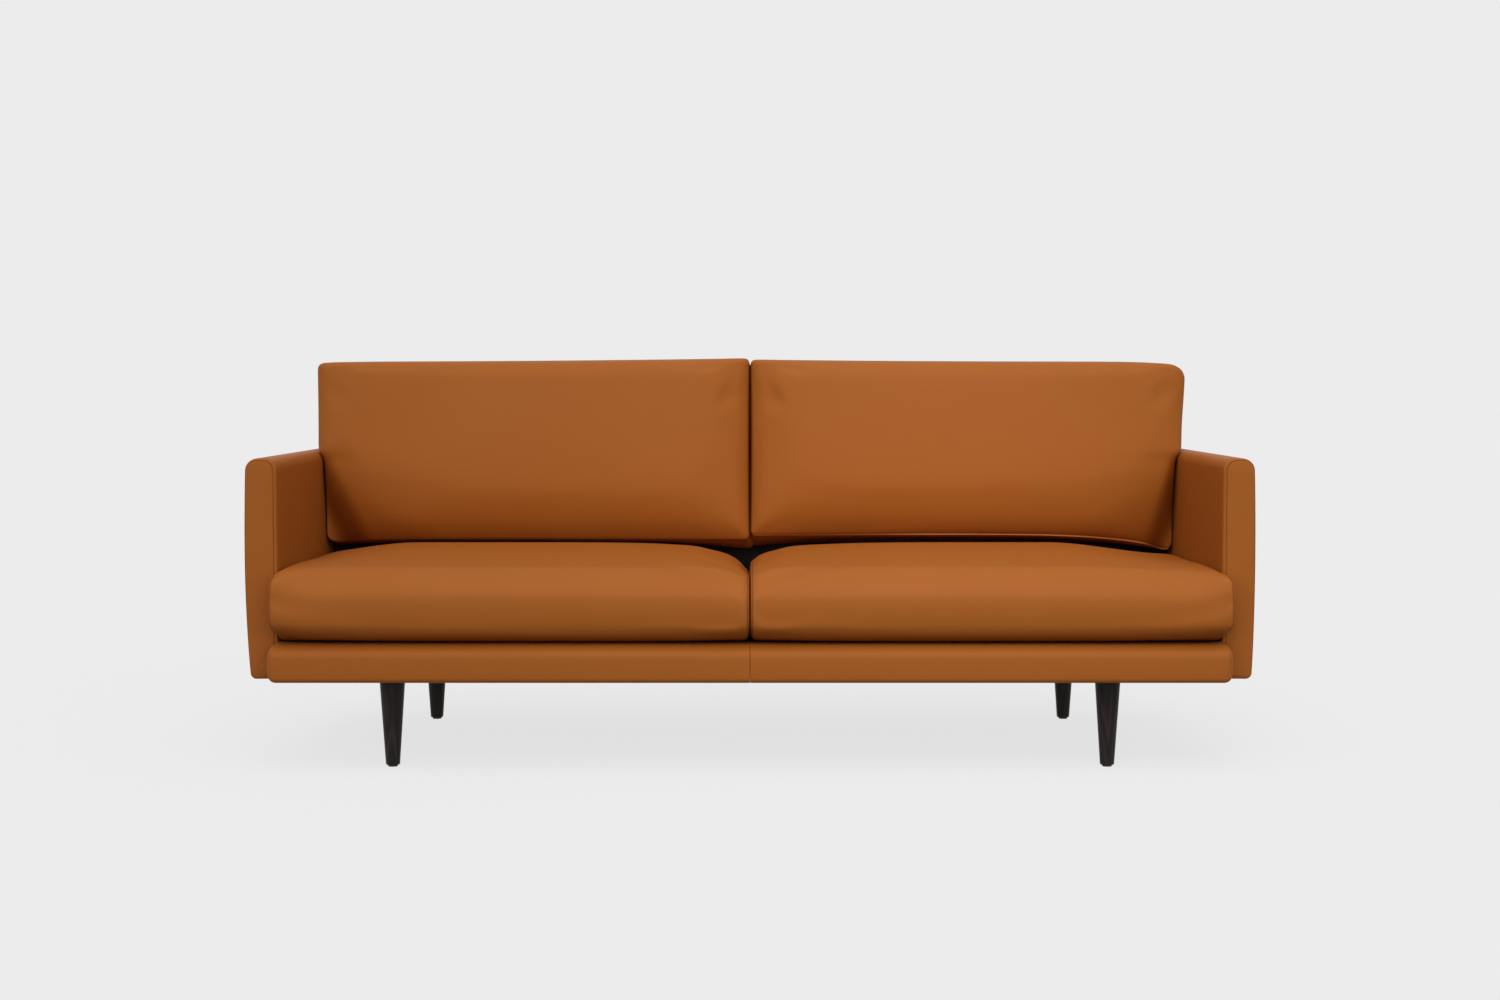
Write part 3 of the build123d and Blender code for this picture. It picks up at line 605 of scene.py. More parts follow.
def leather():
    """Cognac leather with pores, cloudy tone, dark seams and stitches, a painted highlight along a welt,
    painted shade just above it, and a near-black strip painted as shade low inside the back.
    """
    found = bpy.data.materials.get("cognac_hide")
    if found:
        return found
    finish = bpy.context.scene.sofa.finish
    material, tree, shader, place = new_material("cognac_hide", LEATHER_ROUGHNESS[0])
    grain = group_node(tree, "hide_grain")
    tree.links.new(place, grain.inputs["Vector"])
    row = group_node(tree, "thread_row", {"Offset": bpy.context.scene.sofa.arm.stitch_inset})
    tree.links.new(field_value(tree, "stitch_along"), row.inputs["Along"])
    tree.links.new(field_value(tree, "stitch_across"), row.inputs["Across"])
    seam = field_value(tree, "seam")
    hide = mix_colours(tree, grain.outputs["Tone"], tuple(finish.leather_deep), tuple(finish.leather))
    # Dark seams, and painted shade just above a welt
    hide = mix_colours(tree, math_node(tree, "MULTIPLY", seam, SEAM_STRENGTH), hide, SEAM_COLOUR)
    # Near-black strip painted as shade low inside the back
    hide = mix_colours(tree, field_value(tree, "lining_painted_shade"), hide, LINING_PAINTED_SHADE_COLOUR)
    # Painted highlight along a welt
    hide = mix_colours(tree, field_value(tree, "welt_rise_and_painted_highlight"), hide, PAINTED_WELT_HIGHLIGHT_COLOUR)
    sewn = mix_colours(tree, row.outputs["Thread"], hide, tuple(finish.thread))
    tree.links.new(sewn, shader.inputs["Base Color"])
    gloss = spread_values(tree, grain.outputs["Gloss"], *LEATHER_ROUGHNESS)
    tree.links.new(math_node(tree, "MAXIMUM", gloss, seam), shader.inputs["Roughness"])
    pressed = math_node(tree, "MULTIPLY", row.outputs["Furrow"], FURROW_DEPTH)
    raised = math_node(tree, "ADD", grain.outputs["Height"], row.outputs["Thread"])
    bump(tree, shader, math_node(tree, "SUBTRACT", raised, pressed), strength=0.12, distance=0.0006)
    return material


WOOD_SPREAD = (-0.08, 0.10)
SPECK_SPREAD = (-0.1, 0.1)


def wood(name, light, dark, rings, roughness, turn=(0.0, 0.0, 0.0)):
    """Wood whose grain runs along Z, or along the axis that the turn brings to Z."""
    found = bpy.data.materials.get(name)
    if found:
        return found
    material, tree, shader, place = new_material(name, roughness)
    turned = new_node(tree, "ShaderNodeMapping", None, {"Rotation": turn})
    tree.links.new(place, turned.inputs["Vector"])
    grain = group_node(tree, "wood_grain", {"Rings": rings})
    tree.links.new(turned.outputs[0], grain.inputs["Vector"])
    tree.links.new(mix_colours(tree, grain.outputs["Grain"], dark, light), shader.inputs["Base Color"])
    gloss = spread_values(tree, grain.outputs["Pores"], *(roughness + part for part in WOOD_SPREAD))
    tree.links.new(gloss, shader.inputs["Roughness"])
    bump(tree, shader, grain.outputs["Pores"], strength=0.15, distance=0.0004)
    return material


def cloth(name, light, dark, threads, roughness):
    """A woven or felted cloth."""
    found = bpy.data.materials.get(name)
    if found:
        return found
    material, tree, shader, place = new_material(name, roughness)
    weave = group_node(tree, "weave", {"Threads": threads})
    tree.links.new(place, weave.inputs["Vector"])
    tree.links.new(mix_colours(tree, weave.outputs["Shade"], dark, light), shader.inputs["Base Color"])
    bump(tree, shader, weave.outputs["Height"], strength=0.4, distance=0.0008)
    return material


def speckled(name, light, dark, scale, roughness, metallic=0.0):
    """A plain finish with fine specks, as on plated steel, nylon or pressed board."""
    found = bpy.data.materials.get(name)
    if found:
        return found
    material, tree, shader, place = new_material(name, roughness, metallic)
    specks = new_node(tree, "ShaderNodeTexNoise", None, {"Scale": scale, "Detail": 4.0})
    tree.links.new(place, specks.inputs["Vector"])
    tree.links.new(mix_colours(tree, specks.outputs[0], dark, light), shader.inputs["Base Color"])
    gloss = spread_values(tree, specks.outputs[0], *(roughness + part for part in SPECK_SPREAD))
    tree.links.new(gloss, shader.inputs["Roughness"])
    bump(tree, shader, specks.outputs[0], strength=0.1, distance=0.0004)
    return material


# Seat cushions
SEAT_FRONT_REACH = 0.42
SEAT_REAR_REACH = 0.23
SEAT_INNER_REACH = 0.48
SEAT_WIDE_POWER = 3.0
SEAT_FRONT_SHARE = 0.2
SEAT_FALL_SPAN = (-0.40, 0.0)
SEAT_TOP_POWER = 1.5
SEAT_STEPS = (0.0, 0.0012, 0.0034, 0.0066, 0.011, 0.016, 0.024, 0.034, 0.046)
SEAT_SPACING = 0.012
SEAT_CORNERS = ((0.050, 0.058), (0.030, 0.034), (0.022, 0.026), (0.041, 0.072))
SEAT_ARC_STEPS = 12
SEAT_RIM = 0.0014
SEAT_BULGE_SPAN = 0.12
SEAT_EAR = (0.0090, 0.0075)
SEAT_EAR_SPAN = 0.08
SEAT_EAR_POWER = 1.5
SEAT_FLAT_SHARE = 0.02
SEAT_FLAT_START = 0.06
NOSE_SPAN = (0.004, 0.036)
NOSE_END_SPAN = 0.09
NOSE_FOOT_SPAN = (0.0, 0.3)
NOSE_TOP_SPAN = (1.12, 0.92)
UNDER_SPAN = (0.5, 0.0)
UNDER_END_SPAN = 0.06
OVERHANG_SPAN = (0.12, 0.02)
SEAM_GROOVE = 0.0020
SEAT_SWELL = 0.004
SEAT_SHAPES = {
    "left": {"wide_fall": 0.015, "end_fall": 0.046, "end_power": 16.0, "outer_fall": (0.003, 0.0255),
             "outer_span": (0.75, 1.01), "nose_flare": 0.006, "end_lift": 0.006},
    "right": {"wide_fall": 0.014, "end_fall": 0.021, "end_power": 20.0, "outer_fall": (0.0065, 0.026),
              "outer_span": (0.67, 0.95), "nose_flare": 0.012, "end_lift": 0.003},
}


def seat_skin(name, side, size, shape):
    """A seat cushion: its outline from the side is carried across, and its end panels bulge.

    The top is the peak less the square of the distance from the peak along the depth. It falls towards
    the inner end with two powers of the nearness to it, and towards the outer end along a smooth step,
    both less at the front. Beside each end seam the outline shrinks along a quarter circle. In front of
    the arm the outer end stands out, and its upper corner is drawn forwards and up.
    """
    low, high = seat_low, seat_high
    edge_z = low.z + size.edge_rise
    inner = low.x + size.end_bulge
    outer = high.x - size.end_bulge
    stations = edge_spaced(inner, outer, SEAT_STEPS, SEAT_SPACING)
    across = np.concatenate(([inner - SEAT_RIM], stations, [outer + SEAT_RIM]))[:, None]
    is_seam = np.zeros(len(across))
    is_seam[[1, -2]] = 1.0
    front = low.y + size.front_bulge - size.overhang
    outline = rounded_outline((low.z, edge_z), (front, high.y), SEAT_CORNERS, SEAT_ARC_STEPS, SEAT_SPACING)
    height = outline[None, :, 0]
    depth = outline[None, :, 1]
    up = (height - low.z) / size.edge_rise
    behind_front = depth - outline[:, 1].min()

    from_peak = depth - size.peak_place
    reach = np.where(from_peak < 0.0, SEAT_FRONT_REACH, SEAT_REAR_REACH)
    along_fall = size.peak_fall * (from_peak / reach) ** 2
    behind = smooth_step(*SEAT_FALL_SPAN, depth)
    nearness = np.clip(1.0 - (across - low.x) / SEAT_INNER_REACH, 0.0, 1.0)
    inner_fall = shape["wide_fall"] * nearness ** SEAT_WIDE_POWER
    inner_fall = inner_fall + shape["end_fall"] * nearness ** shape["end_power"]
    inner_fall = (SEAT_FRONT_SHARE + (1.0 - SEAT_FRONT_SHARE) * behind) * inner_fall
    front_fall, rear_fall = shape["outer_fall"]
    outer_fall = (front_fall + (rear_fall - front_fall) * behind) * smooth_step(*shape["outer_span"], across)
    top = low.z + size.peak_rise - along_fall - inner_fall - outer_fall
    at_front = smooth_step(SEAT_BULGE_SPAN, 0.0, behind_front)
    ear_up = np.clip(1.0 - (edge_z - outline[:, 0]) / SEAT_CORNERS[0][0], 0.0, 1.0)
    ear_out = np.clip(1.0 - (outline[:, 1] - front) / SEAT_CORNERS[0][1], 0.0, 1.0)
    ear = (2.0 * ear_up * ear_out) ** SEAT_EAR_POWER * smooth_step(outer - SEAT_EAR_SPAN, outer, across)
    y = depth - size.front_bulge * 4.0 * up * (1.0 - up) * at_front - SEAT_EAR[0] * ear
    z = height + up ** SEAT_TOP_POWER * (top - edge_z) + SEAT_EAR[1] * ear

    from_seam = np.minimum(across - inner, outer - across)
    tuck = size.end_tuck * (1.0 - quarter_round(np.maximum(from_seam, 0.0), size.end_round))
    tuck = tuck + SEAM_GROOVE * is_seam[:, None]
    for values in (y, z):
        least = values.min(axis=1, keepdims=True)
        most = values.max(axis=1, keepdims=True)
        values -= (values - (least + most) / 2) * tuck / ((most - least) / 2)
    body = np.stack((np.broadcast_to(across, y.shape), y, z), axis=-1)
    bulge = size.end_bulge - SEAT_RIM
    rings = capped(body, (bulge, bulge), (2, 1))
    seam = np.zeros(rings.shape[:2])
    first = len(CAP_SHARES)
    seam[first:first + len(body)] = is_seam[:, None]
    resting = (up < SEAT_FLAT_SHARE) & (behind_front > SEAT_FLAT_START)
    held = np.maximum(seam, np.broadcast_to(resting, seam.shape))

    rise = (rings[:, :, 2] - low.z) / size.edge_rise
    nose = smooth_step(arm_low.y - NOSE_SPAN[0], arm_low.y - NOSE_SPAN[1], rings[:, :, 1])
    near_end = smooth_step(outer - NOSE_END_SPAN, outer, rings[:, :, 0])
    upright = smooth_step(*NOSE_FOOT_SPAN, rise) * smooth_step(*NOSE_TOP_SPAN, rise)
    rings[:, :, 0] += shape["nose_flare"] * nose * near_end * upright
    under = smooth_step(*UNDER_SPAN, rise)
    under_end = smooth_step(outer - UNDER_END_SPAN, outer, rings[:, :, 0])
    overhanging = smooth_step(low.y + OVERHANG_SPAN[0], low.y + OVERHANG_SPAN[1], rings[:, :, 1])
    rings[:, :, 2] += shape["end_lift"] * nose * under * under_end + size.front_lift * under * overhanging
    fields = {"seam": seam, "held": held, "taut": np.zeros(seam.shape)}
    return tube_skin(name, mirrored(rings, side), fields)


# Back cushions
PANEL_STEPS = (0.0, 0.0014, 0.004, 0.008, 0.013, 0.019, 0.026, 0.034, 0.044, 0.055)
PANEL_SPACING = 0.012
BORDER_SHARES = (0.03, 0.08, 0.16, 0.27, 0.40, 0.53, 0.66, 0.78, 0.88, 0.96)
BORDER_HELD_SHARE = 0.5
BORDER_SKEW = 1.4
BORDER_CORNER_POWER = 14
BACK_ARM_GAP = 0.0015
BACK_FOOT_DROP = 0.0021
BACK_REAR_GAP = 0.001
BACK_REAR_ROLL = 0.014
BACK_FOOT_WIDTH = 0.048
BACK_PULL = 0.002
BACK_PULL_POWER = 6
CROWN_BELOW_POWER = 2.6
CROWN_ABOVE_POWER = 1.6
CROWN_OUTER_POWER = 2.8
CROWN_INNER_POWER = 5.0
FOLD_SPAN = (0.0, 0.8)
FOLD_RIM_REACH = 0.018
SLACK_REACH = (0.30, 0.16)
SLACK_DEPTH = 0.030
# Each corner has its way across and along, the phase of its folds and its share of their depth
PUCKER_CORNERS = ((-1, 1, 0.4, 0.3), (1, 1, 1.9, 0.3), (-1, -1, 2.7, 1.0), (1, -1, 0.9, 1.0))
PUCKER_RAYS = 7.0
PUCKER_REACH = 0.075
PUCKER_START = 0.02
# Share of the seam colour painted as shade into the rows just above a welt
WELT_SHADE = 0.8
WELT_RISE = 0.004
# Where the welt's rise and painted highlight start across the panel, and how far they fade in
WELT_START = 0.8
WELT_FADE = 0.35
FLARE_SPAN = (0.55, 0.95)
FLARE_POWER = 3
CORNER_DROP_POWER = 18
TILT_POWER = 4
FOOT_POWER = 8
FOOT_FADE_POWER = 5
SAG_POWER = 8
SAG_REACH = 0.07
TAUT_SPAN = (0.11, 0.04)
BACK_SWELL = 0.006
BACK_SHAPES = {
    "left": {"corners": (0.016, 0.024, 0.012, 0.014), "tilt": (0.003, -0.0045), "top_flare": 0.001,
             "corner_drop": 0.004, "corner_fall": 0.078, "fold_reach": (0.130, 0.215), "fold_rim": 0.5,
             "foot_lift": -0.001, "foot_drop": 0.0, "welt": 0.0, "pucker": 0.0016, "border_bulge": 0.003,
             "sag": 0.018},
    "right": {"corners": (0.034, 0.024, 0.012, 0.014), "tilt": (0.0, -0.004), "top_flare": 0.007,
              "corner_drop": 0.012, "corner_fall": 0.072, "fold_reach": (0.090, 0.225), "fold_rim": 0.2,
              "foot_lift": 0.009, "foot_drop": 0.033, "welt": 0.0022, "pucker": 0.0014, "border_bulge": 0.003,
              "sag": 0.018},
}


def rounded_grid(columns, rows, corner_sizes):
    """A grid whose four corners are drawn onto quarter circles.

    In a corner's square, with both shares from 0 to 1, each share is multiplied by the root of one less
    half the other's square, which draws the square onto a quarter disc.
    """
    x, y = np.meshgrid(columns, rows)
    right = x > 0.0
    upper = y > 0.0
    corner = np.select([right & upper, right, upper], corner_sizes[:3], corner_sizes[3])
    share_x = np.clip((np.abs(x) - columns.max() + corner) / corner, 0.0, 1.0)
    share_y = np.clip((np.abs(y) - rows.max() + corner) / corner, 0.0, 1.0)
    drawn_x = np.abs(x) + corner * share_x * (np.sqrt(1.0 - share_y ** 2 / 2) - 1.0)
    drawn_y = np.abs(y) + corner * share_y * (np.sqrt(1.0 - share_x ** 2 / 2) - 1.0)
    return x, y, np.sign(x) * drawn_x, np.sign(y) * drawn_y


def corner_pucker(x, y, half_width, half_height, depth):
    """Small folds that fan out from the corners: a sine of the angle, fading with the distance."""
    pucker = np.zeros_like(x)
    for way_x, way_y, phase, share in PUCKER_CORNERS:
        away_x = half_width - way_x * x
        away_y = half_height - way_y * y
        reach = np.hypot(away_x, away_y)
        fold = np.sin(PUCKER_RAYS * np.arctan2(away_y, away_x) + phase)
        pucker += depth * share * fold * np.exp(-reach / PUCKER_REACH) * (1.0 - np.exp(-reach / PUCKER_START))
    return pucker


def back_cushion_skin(name, side, size, shape):
    """A back cushion in its leaning frame: width across, height along the lean and thickness forward.

    The front panel rises from its seam along a quarter circle, and its crown is one less a power of the
    distance from the middle across, times one less powers of the distances below and above the belly.
    Towards the lower outer corner the front falls back by a narrow fold and a wide slack, joined as the
    root of the sum of their squares. A welt, where there is one, is a ridge along the lower seam, with a
    painted highlight along it and painted shade in the rows just above it. The border joins the front to a
    flat rear panel that is rounded in the same way.
    """
    inner = seat_low.x
    outer = arm_low.x - BACK_ARM_GAP
    half_width = (outer - inner) / 2
    middle = (outer + inner) / 2
    half_height = size.height / 2
    columns = edge_spaced(-half_width, half_width, PANEL_STEPS, PANEL_SPACING)
    rows = edge_spaced(-half_height, half_height, PANEL_STEPS, PANEL_SPACING)
    x, y, grid_x, grid_y = rounded_grid(columns, rows, shape["corners"])
    share_x = np.abs(x) / half_width
    share_y = np.abs(y) / half_height
    grid_x = grid_x - BACK_PULL * np.sign(x) * share_x ** BACK_PULL_POWER * (1.0 - share_y ** 2)
    grid_y = grid_y - BACK_PULL * np.sign(y) * share_y ** BACK_PULL_POWER * (1.0 - share_x ** 2)
    from_side = half_width - np.abs(x)
    from_end = half_height - np.abs(y)
    end_width = np.where(y > 0.0, size.top_width, BACK_FOOT_WIDTH)
    side_roll = quarter_round(from_side, size.edge_width)
    roll = side_roll * quarter_round(from_end, end_width)
    welt = np.where(y < 0.0, shape["welt"], 0.0)
    front_roll = side_roll * quarter_round(np.maximum(from_end, welt), end_width)

    up = (y + half_height) / size.height
    below = np.clip(1.0 - up / size.belly, 0.0, 1.0)
    above = np.clip((up - size.belly) / (1.0 - size.belly), 0.0, 1.0)
    crown_up = 1.0 - below ** CROWN_BELOW_POWER - (1.0 - size.top_share) * above ** CROWN_ABOVE_POWER
    crown_across = 1.0 - share_x ** np.where(x > 0.0, CROWN_OUTER_POWER, CROWN_INNER_POWER)
    from_outer = half_width - x
    from_foot = half_height + y
    fold_wide, fold_tall = shape["fold_reach"]
    folded = np.clip(1.0 - from_outer / fold_wide - from_foot / fold_tall, 0.0, 1.0)
    slack_wide, slack_tall = SLACK_REACH
    slack = np.clip(1.0 - from_outer / slack_wide - from_foot / slack_tall, 0.0, 1.0)
    rim = 1.0 - shape["fold_rim"] * np.exp(-from_outer / FOLD_RIM_REACH)
    fold_depth = shape["corner_fall"] * rim * smooth_step(*FOLD_SPAN, folded)
    corner_fall = np.hypot(fold_depth, SLACK_DEPTH * smooth_step(0.0, 1.0, slack))
    pucker = corner_pucker(x, y, half_width, half_height, shape["pucker"])
    groove = np.where(front_roll > 0.0, 0.0, SEAM_GROOVE)
    # Mask of the welt strip: it raises the welt and paints a highlight along it, fading out towards the inner
    # end and in the fold
    welt_rise_and_painted_highlight = (from_end < welt) * smooth_step(0.0, WELT_FADE, x + WELT_START * half_width) * (1.0 - folded)
    forward = size.border + size.border_gain * up - groove - corner_fall
    forward = forward + front_roll * (size.edge_depth + size.crown * crown_across * crown_up + pucker)
    forward = forward + WELT_RISE * welt_rise_and_painted_highlight
    rearward = BACK_REAR_GAP + BACK_REAR_ROLL * (1.0 - roll)

    foot_z = back_pad_low.z - BACK_FOOT_DROP
    foot_y = back_low.y + (foot_z - back_low.z) * math.tan(size.lean)
    sine = math.sin(size.lean)
    cosine = math.cos(size.lean)
    inner_tilt, outer_tilt = shape["tilt"]
    arm_round = bpy.context.scene.sofa.arm.top_radius

    def placed(across, along, thick):
        """Points of the leaning frame in the sofa's frame, with the flare over the arm and the tilt."""
        share = across / half_width
        rise = np.clip((along + half_height) / size.height, 0.0, 1.0)
        high = foot_z + (along + half_height) * cosine + thick * sine
        over_arm = np.clip((high - arm_high.z + arm_round) / arm_round, 0.0, 1.0)
        out = np.minimum(arm_round * (1.0 - np.sqrt(1.0 - over_arm ** 2)), size.flare)
        out = out + shape["top_flare"] * smooth_step(*FLARE_SPAN, rise)
        wide = middle + across + out * np.clip(share, 0.0, 1.0) ** FLARE_POWER
        level = (share + 1.0) / 2.0
        outward = np.clip(level, 0.0, 1.0)
        tilt = inner_tilt + (outer_tilt - inner_tilt) * level
        tilt = tilt - shape["corner_drop"] * outward ** CORNER_DROP_POWER
        foot = shape["foot_lift"] - shape["foot_drop"] * outward ** FOOT_POWER
        foot = foot * (1.0 - rise) ** FOOT_FADE_POWER * np.clip(2.0 * thick / size.border, 0.0, 1.0) ** 2
        lifted = along + half_height + rise ** TILT_POWER * tilt + foot
        deep = foot_y + lifted * sine - thick * cosine
        tall = foot_z + lifted * cosine + thick * sine
        return np.stack((wide, deep, tall), axis=-1)

    front = placed(grid_x, grid_y, forward)
    rear = placed(grid_x, grid_y, rearward)
    loop_x = loop_of(grid_x)
    loop_y = loop_of(grid_y)
    out_x = np.sign(loop_x) * np.abs(loop_x / half_width) ** BORDER_CORNER_POWER
    out_y = np.sign(loop_y) * np.abs(loop_y / half_height) ** BORDER_CORNER_POWER
    scale = np.maximum(np.hypot(out_x, out_y), 1e-6)
    share = np.array(BORDER_SHARES)[:, None]
    front_edge = loop_of(forward)
    thick = front_edge + (loop_of(rearward) - front_edge) * share
    sag = shape["sag"] * np.clip(-loop_y / half_height, 0.0, 1.0) ** SAG_POWER
    sag = sag * np.exp(-(loop_x + half_width) / SAG_REACH)
    bulge = (shape["border_bulge"] + sag) * np.sin(math.pi * share ** BORDER_SKEW)
    border = placed(loop_x + out_x / scale * bulge, loop_y + out_y / scale * bulge, thick)

    panel_seam = (roll <= 0.0).astype(float)
    # Seam lines, and painted shade in the rows just above the welt
    shade = (front_roll <= 0.0) + WELT_SHADE * ((from_end < 2.0 * welt) & (from_end > welt))
    border_held = np.repeat((share > BORDER_HELD_SHARE).ravel(), thick.shape[1])
    panel_taut = smooth_step(*TAUT_SPAN, np.hypot(from_side, half_height - y))
    border_none = np.zeros(thick.size)
    panel_none = np.zeros(x.size)
    fields = {
        "seam": np.concatenate((shade.ravel(), border_none, panel_seam.ravel())),
        "held": np.concatenate((panel_seam.ravel(), border_held, np.ones(x.size))),
        "taut": np.concatenate((panel_taut.ravel(), border_none, panel_none)),
        "welt_rise_and_painted_highlight": np.concatenate((welt_rise_and_painted_highlight.ravel(), border_none, panel_none)),
    }
    return box_skin(name, mirrored(front, side), mirrored(border, side), mirrored(rear, side), fields)


# Arms
ARC_STEPS = 10
ARM_SPACING = 0.012
ARM_OUTLINE_SPACING = 0.010
ARM_INNER_FOOT = (0.004, 0.004)
ARM_FULLNESS_POWER = 0.6
FACING_SHARES = (0.93, 0.82, 0.68, 0.53, 0.40)
FACING_EDGE = 0.0105
FACING_LIP = 0.0010
FACING_SWELL = 0.0012
FACING_SWELL_SHARE = 0.6
BAND_TURN = (0.0, 22.5, 45.0, 67.5, 90.0)
BAND_GAP = 0.0008
BAND_BACK = 0.0002
ROW_HALF_WIDTH = 0.0016
ROW_DEPTH = 0.0007


def arm_skin(name, side, size, draw_in):
    """An arm: its outline from the front is carried from the front facing to the rear facing.

    The facing lies inside a seam, the band rolls over the edge along a quarter circle, and the outer face
    stands out along half a sine and comes in towards the foot with the square of the distance down.
    """
    low, high = arm_low - Vector((0.0, 0.0, size.hang)), arm_high
    top = (size.top_radius, size.top_radius)
    foot = (size.foot_radius, size.foot_radius)
    outline = rounded_outline((low.x, high.x), (low.z, high.z), (foot, top, top, ARM_INNER_FOOT), ARC_STEPS,
                              ARM_OUTLINE_SPACING)
    below = np.clip((low.z + size.draw_in_rise - outline[:, 1]) / size.draw_in_rise, 0.0, 1.0)
    outward = (outline[:, 0] - low.x) / (high.x - low.x)
    rise = np.clip((outline[:, 1] - low.z) / (high.z - low.z), 0.0, 1.0)
    full = np.sin(math.pi * rise) ** ARM_FULLNESS_POWER
    x = outline[:, 0] + (size.bulge * full - draw_in * below ** 2) * outward ** 2
    ring = np.column_stack((x, np.zeros(len(x)), outline[:, 1]))
    toward = middle_line(ring, 0, 2) - ring
    half = (high.x - low.x) / 2

    turn = np.radians(BAND_TURN)
    roll = size.seam_inset - BAND_GAP
    facing_inset = np.array(FACING_SHARES) * half
    facing_inset = np.concatenate((facing_inset, (FACING_EDGE, size.seam_inset + FACING_LIP)))
    inward = np.clip((facing_inset - size.seam_inset) / (half * FACING_SWELL_SHARE), 0.0, 1.0)
    facing_back = -FACING_SWELL * np.sin(inward * math.pi / 2)
    band_inset = roll * (1.0 - np.sin(turn))
    band_back = BAND_BACK + roll * (1.0 - np.cos(turn))
    row = size.stitch_inset
    row_inset = np.array((0.0, ROW_DEPTH, 0.0))
    row_back = np.array((row - ROW_HALF_WIDTH, row, row + ROW_HALF_WIDTH))
    inset = np.concatenate((facing_inset, [size.seam_inset], band_inset, row_inset))
    back = np.concatenate((facing_back, [SEAM_GROOVE], band_back, row_back))
    span = high.y - low.y
    count = int(round((span - 2 * row) / ARM_SPACING))
    body_back = np.linspace(row_back[-1], span - row_back[-1], count + 1)[1:-1]
    inset_path = np.concatenate((inset, np.zeros(len(body_back)), inset[::-1]))
    back_path = np.concatenate((back, body_back, span - back[::-1]))
    near_edge = smooth_step(half * FACING_SHARES[-1], FACING_EDGE, inset_path)[:, None]
    inset_all = inset_path[:, None] * (1.0 - near_edge * (1.0 - size.outer_share) * outward)
    rings = ring + (inset_all / half)[:, :, None] * toward
    rings[:, :, 1] = (low.y + back_path)[:, None]

    seam = np.zeros(rings.shape[:2])
    at_seam = len(facing_inset)
    seam[[at_seam, -1 - at_seam]] = 1.0
    banded = np.minimum(back_path, span - back_path)
    banded[:at_seam + 1] = -1.0
    banded[-1 - at_seam:] = -1.0
    steps = np.linalg.norm(np.diff(ring, axis=0, append=ring[:1]), axis=1)
    along = np.cumsum(steps) - steps[0]
    fields = {
        "seam": seam,
        "stitch_across": np.broadcast_to(banded[:, None], seam.shape),
        "stitch_along": np.broadcast_to(along, seam.shape),
    }
    return tube_skin(name, mirrored(rings, side), fields)


# Front border of the base
FRONT_CORNERS = ((0.003, 0.003), (0.003, 0.003), (0.042, 0.026), (0.010, 0.010))
FRONT_OUTLINE_SPACING = 0.006
FRONT_SPACING = 0.010
FRONT_SEAM_X = 0.0001
FRONT_SEAM_STEPS = (0.0, 0.0006, 0.0014, 0.003, 0.006, 0.012)
FRONT_SEAM_WIDTH = 0.003
FRONT_SEAM_ROUND = 0.0009
FRONT_END_ROUND = 0.018
FRONT_END_TURN = (0.0, 15.0, 30.0, 45.0, 60.0, 75.0, 90.0)
FRONT_SWELL = 0.0015


def front_skin(name, side):
    """One half of the padded front: its outline from the side is carried from the centre seam to its end.

    At the end the outline shrinks along a quarter circle, and beside the centre seam by a much smaller one.
    """
    low, high = front_low - Vector((0.0, 0.0, bpy.context.scene.sofa.arm.hang)), front_high
    outline = rounded_outline((low.y, high.y), (low.z, high.z), FRONT_CORNERS, ARC_STEPS,
                              FRONT_OUTLINE_SPACING)
    ring = np.column_stack((np.zeros(len(outline)), outline))
    toward = middle_line(ring, 1, 2) - ring
    half = (high.y - low.y) / 2
    near = FRONT_SEAM_X + np.array(FRONT_SEAM_STEPS)
    far = high.x - FRONT_END_ROUND * (1.0 - np.cos(np.radians(FRONT_END_TURN)))[::-1]
    count = int(round((far[0] - near[-1]) / FRONT_SPACING))
    across = np.concatenate((near, np.linspace(near[-1], far[0], count + 1)[1:-1], far))
    inset = FRONT_SEAM_ROUND * (1.0 - quarter_round(across - FRONT_SEAM_X, FRONT_SEAM_WIDTH))
    inset = inset + FRONT_END_ROUND * (1.0 - quarter_round(high.x - across, FRONT_END_ROUND))
    body = ring + (inset / half)[:, None, None] * toward
    body[:, :, 0] = across[:, None]
    fullness = np.sin(math.pi * (outline[:, 1] - low.z) / (high.z - low.z))
    forward = smooth_step(low.y + half, low.y, outline[:, 0])
    body[:, :, 1] -= FRONT_SWELL * fullness * forward
    rings = capped(body, (0.0, FRONT_SWELL), (1, 2))
    seam = np.zeros(rings.shape[:2])
    seam[:len(CAP_SHARES) + 1] = 1.0
    return tube_skin(name, mirrored(rings, side), {"seam": seam})


# Back of the sofa
BACK_CORNERS = ((0.002, 0.002), (0.016, 0.016), (0.030, 0.030), (0.004, 0.004))
BACK_OUTLINE_SPACING = 0.014
BACK_SPACING = 0.016
BACK_END_STEPS = (0.0, 0.0004, 0.001, 0.0022, 0.004)
BACK_END_ROUND = 0.004
BACK_STEP_HALF = 0.003
BACK_STEP_SPAN = (0.8, 1.0)
# Where the near-black strip painted as shade low inside the back reaches
LINING_SHADE_TOP = 0.47
LINING_SHADE_EDGE = 0.001
LINING_SHADE_SPAN = (0.12, 0.08)


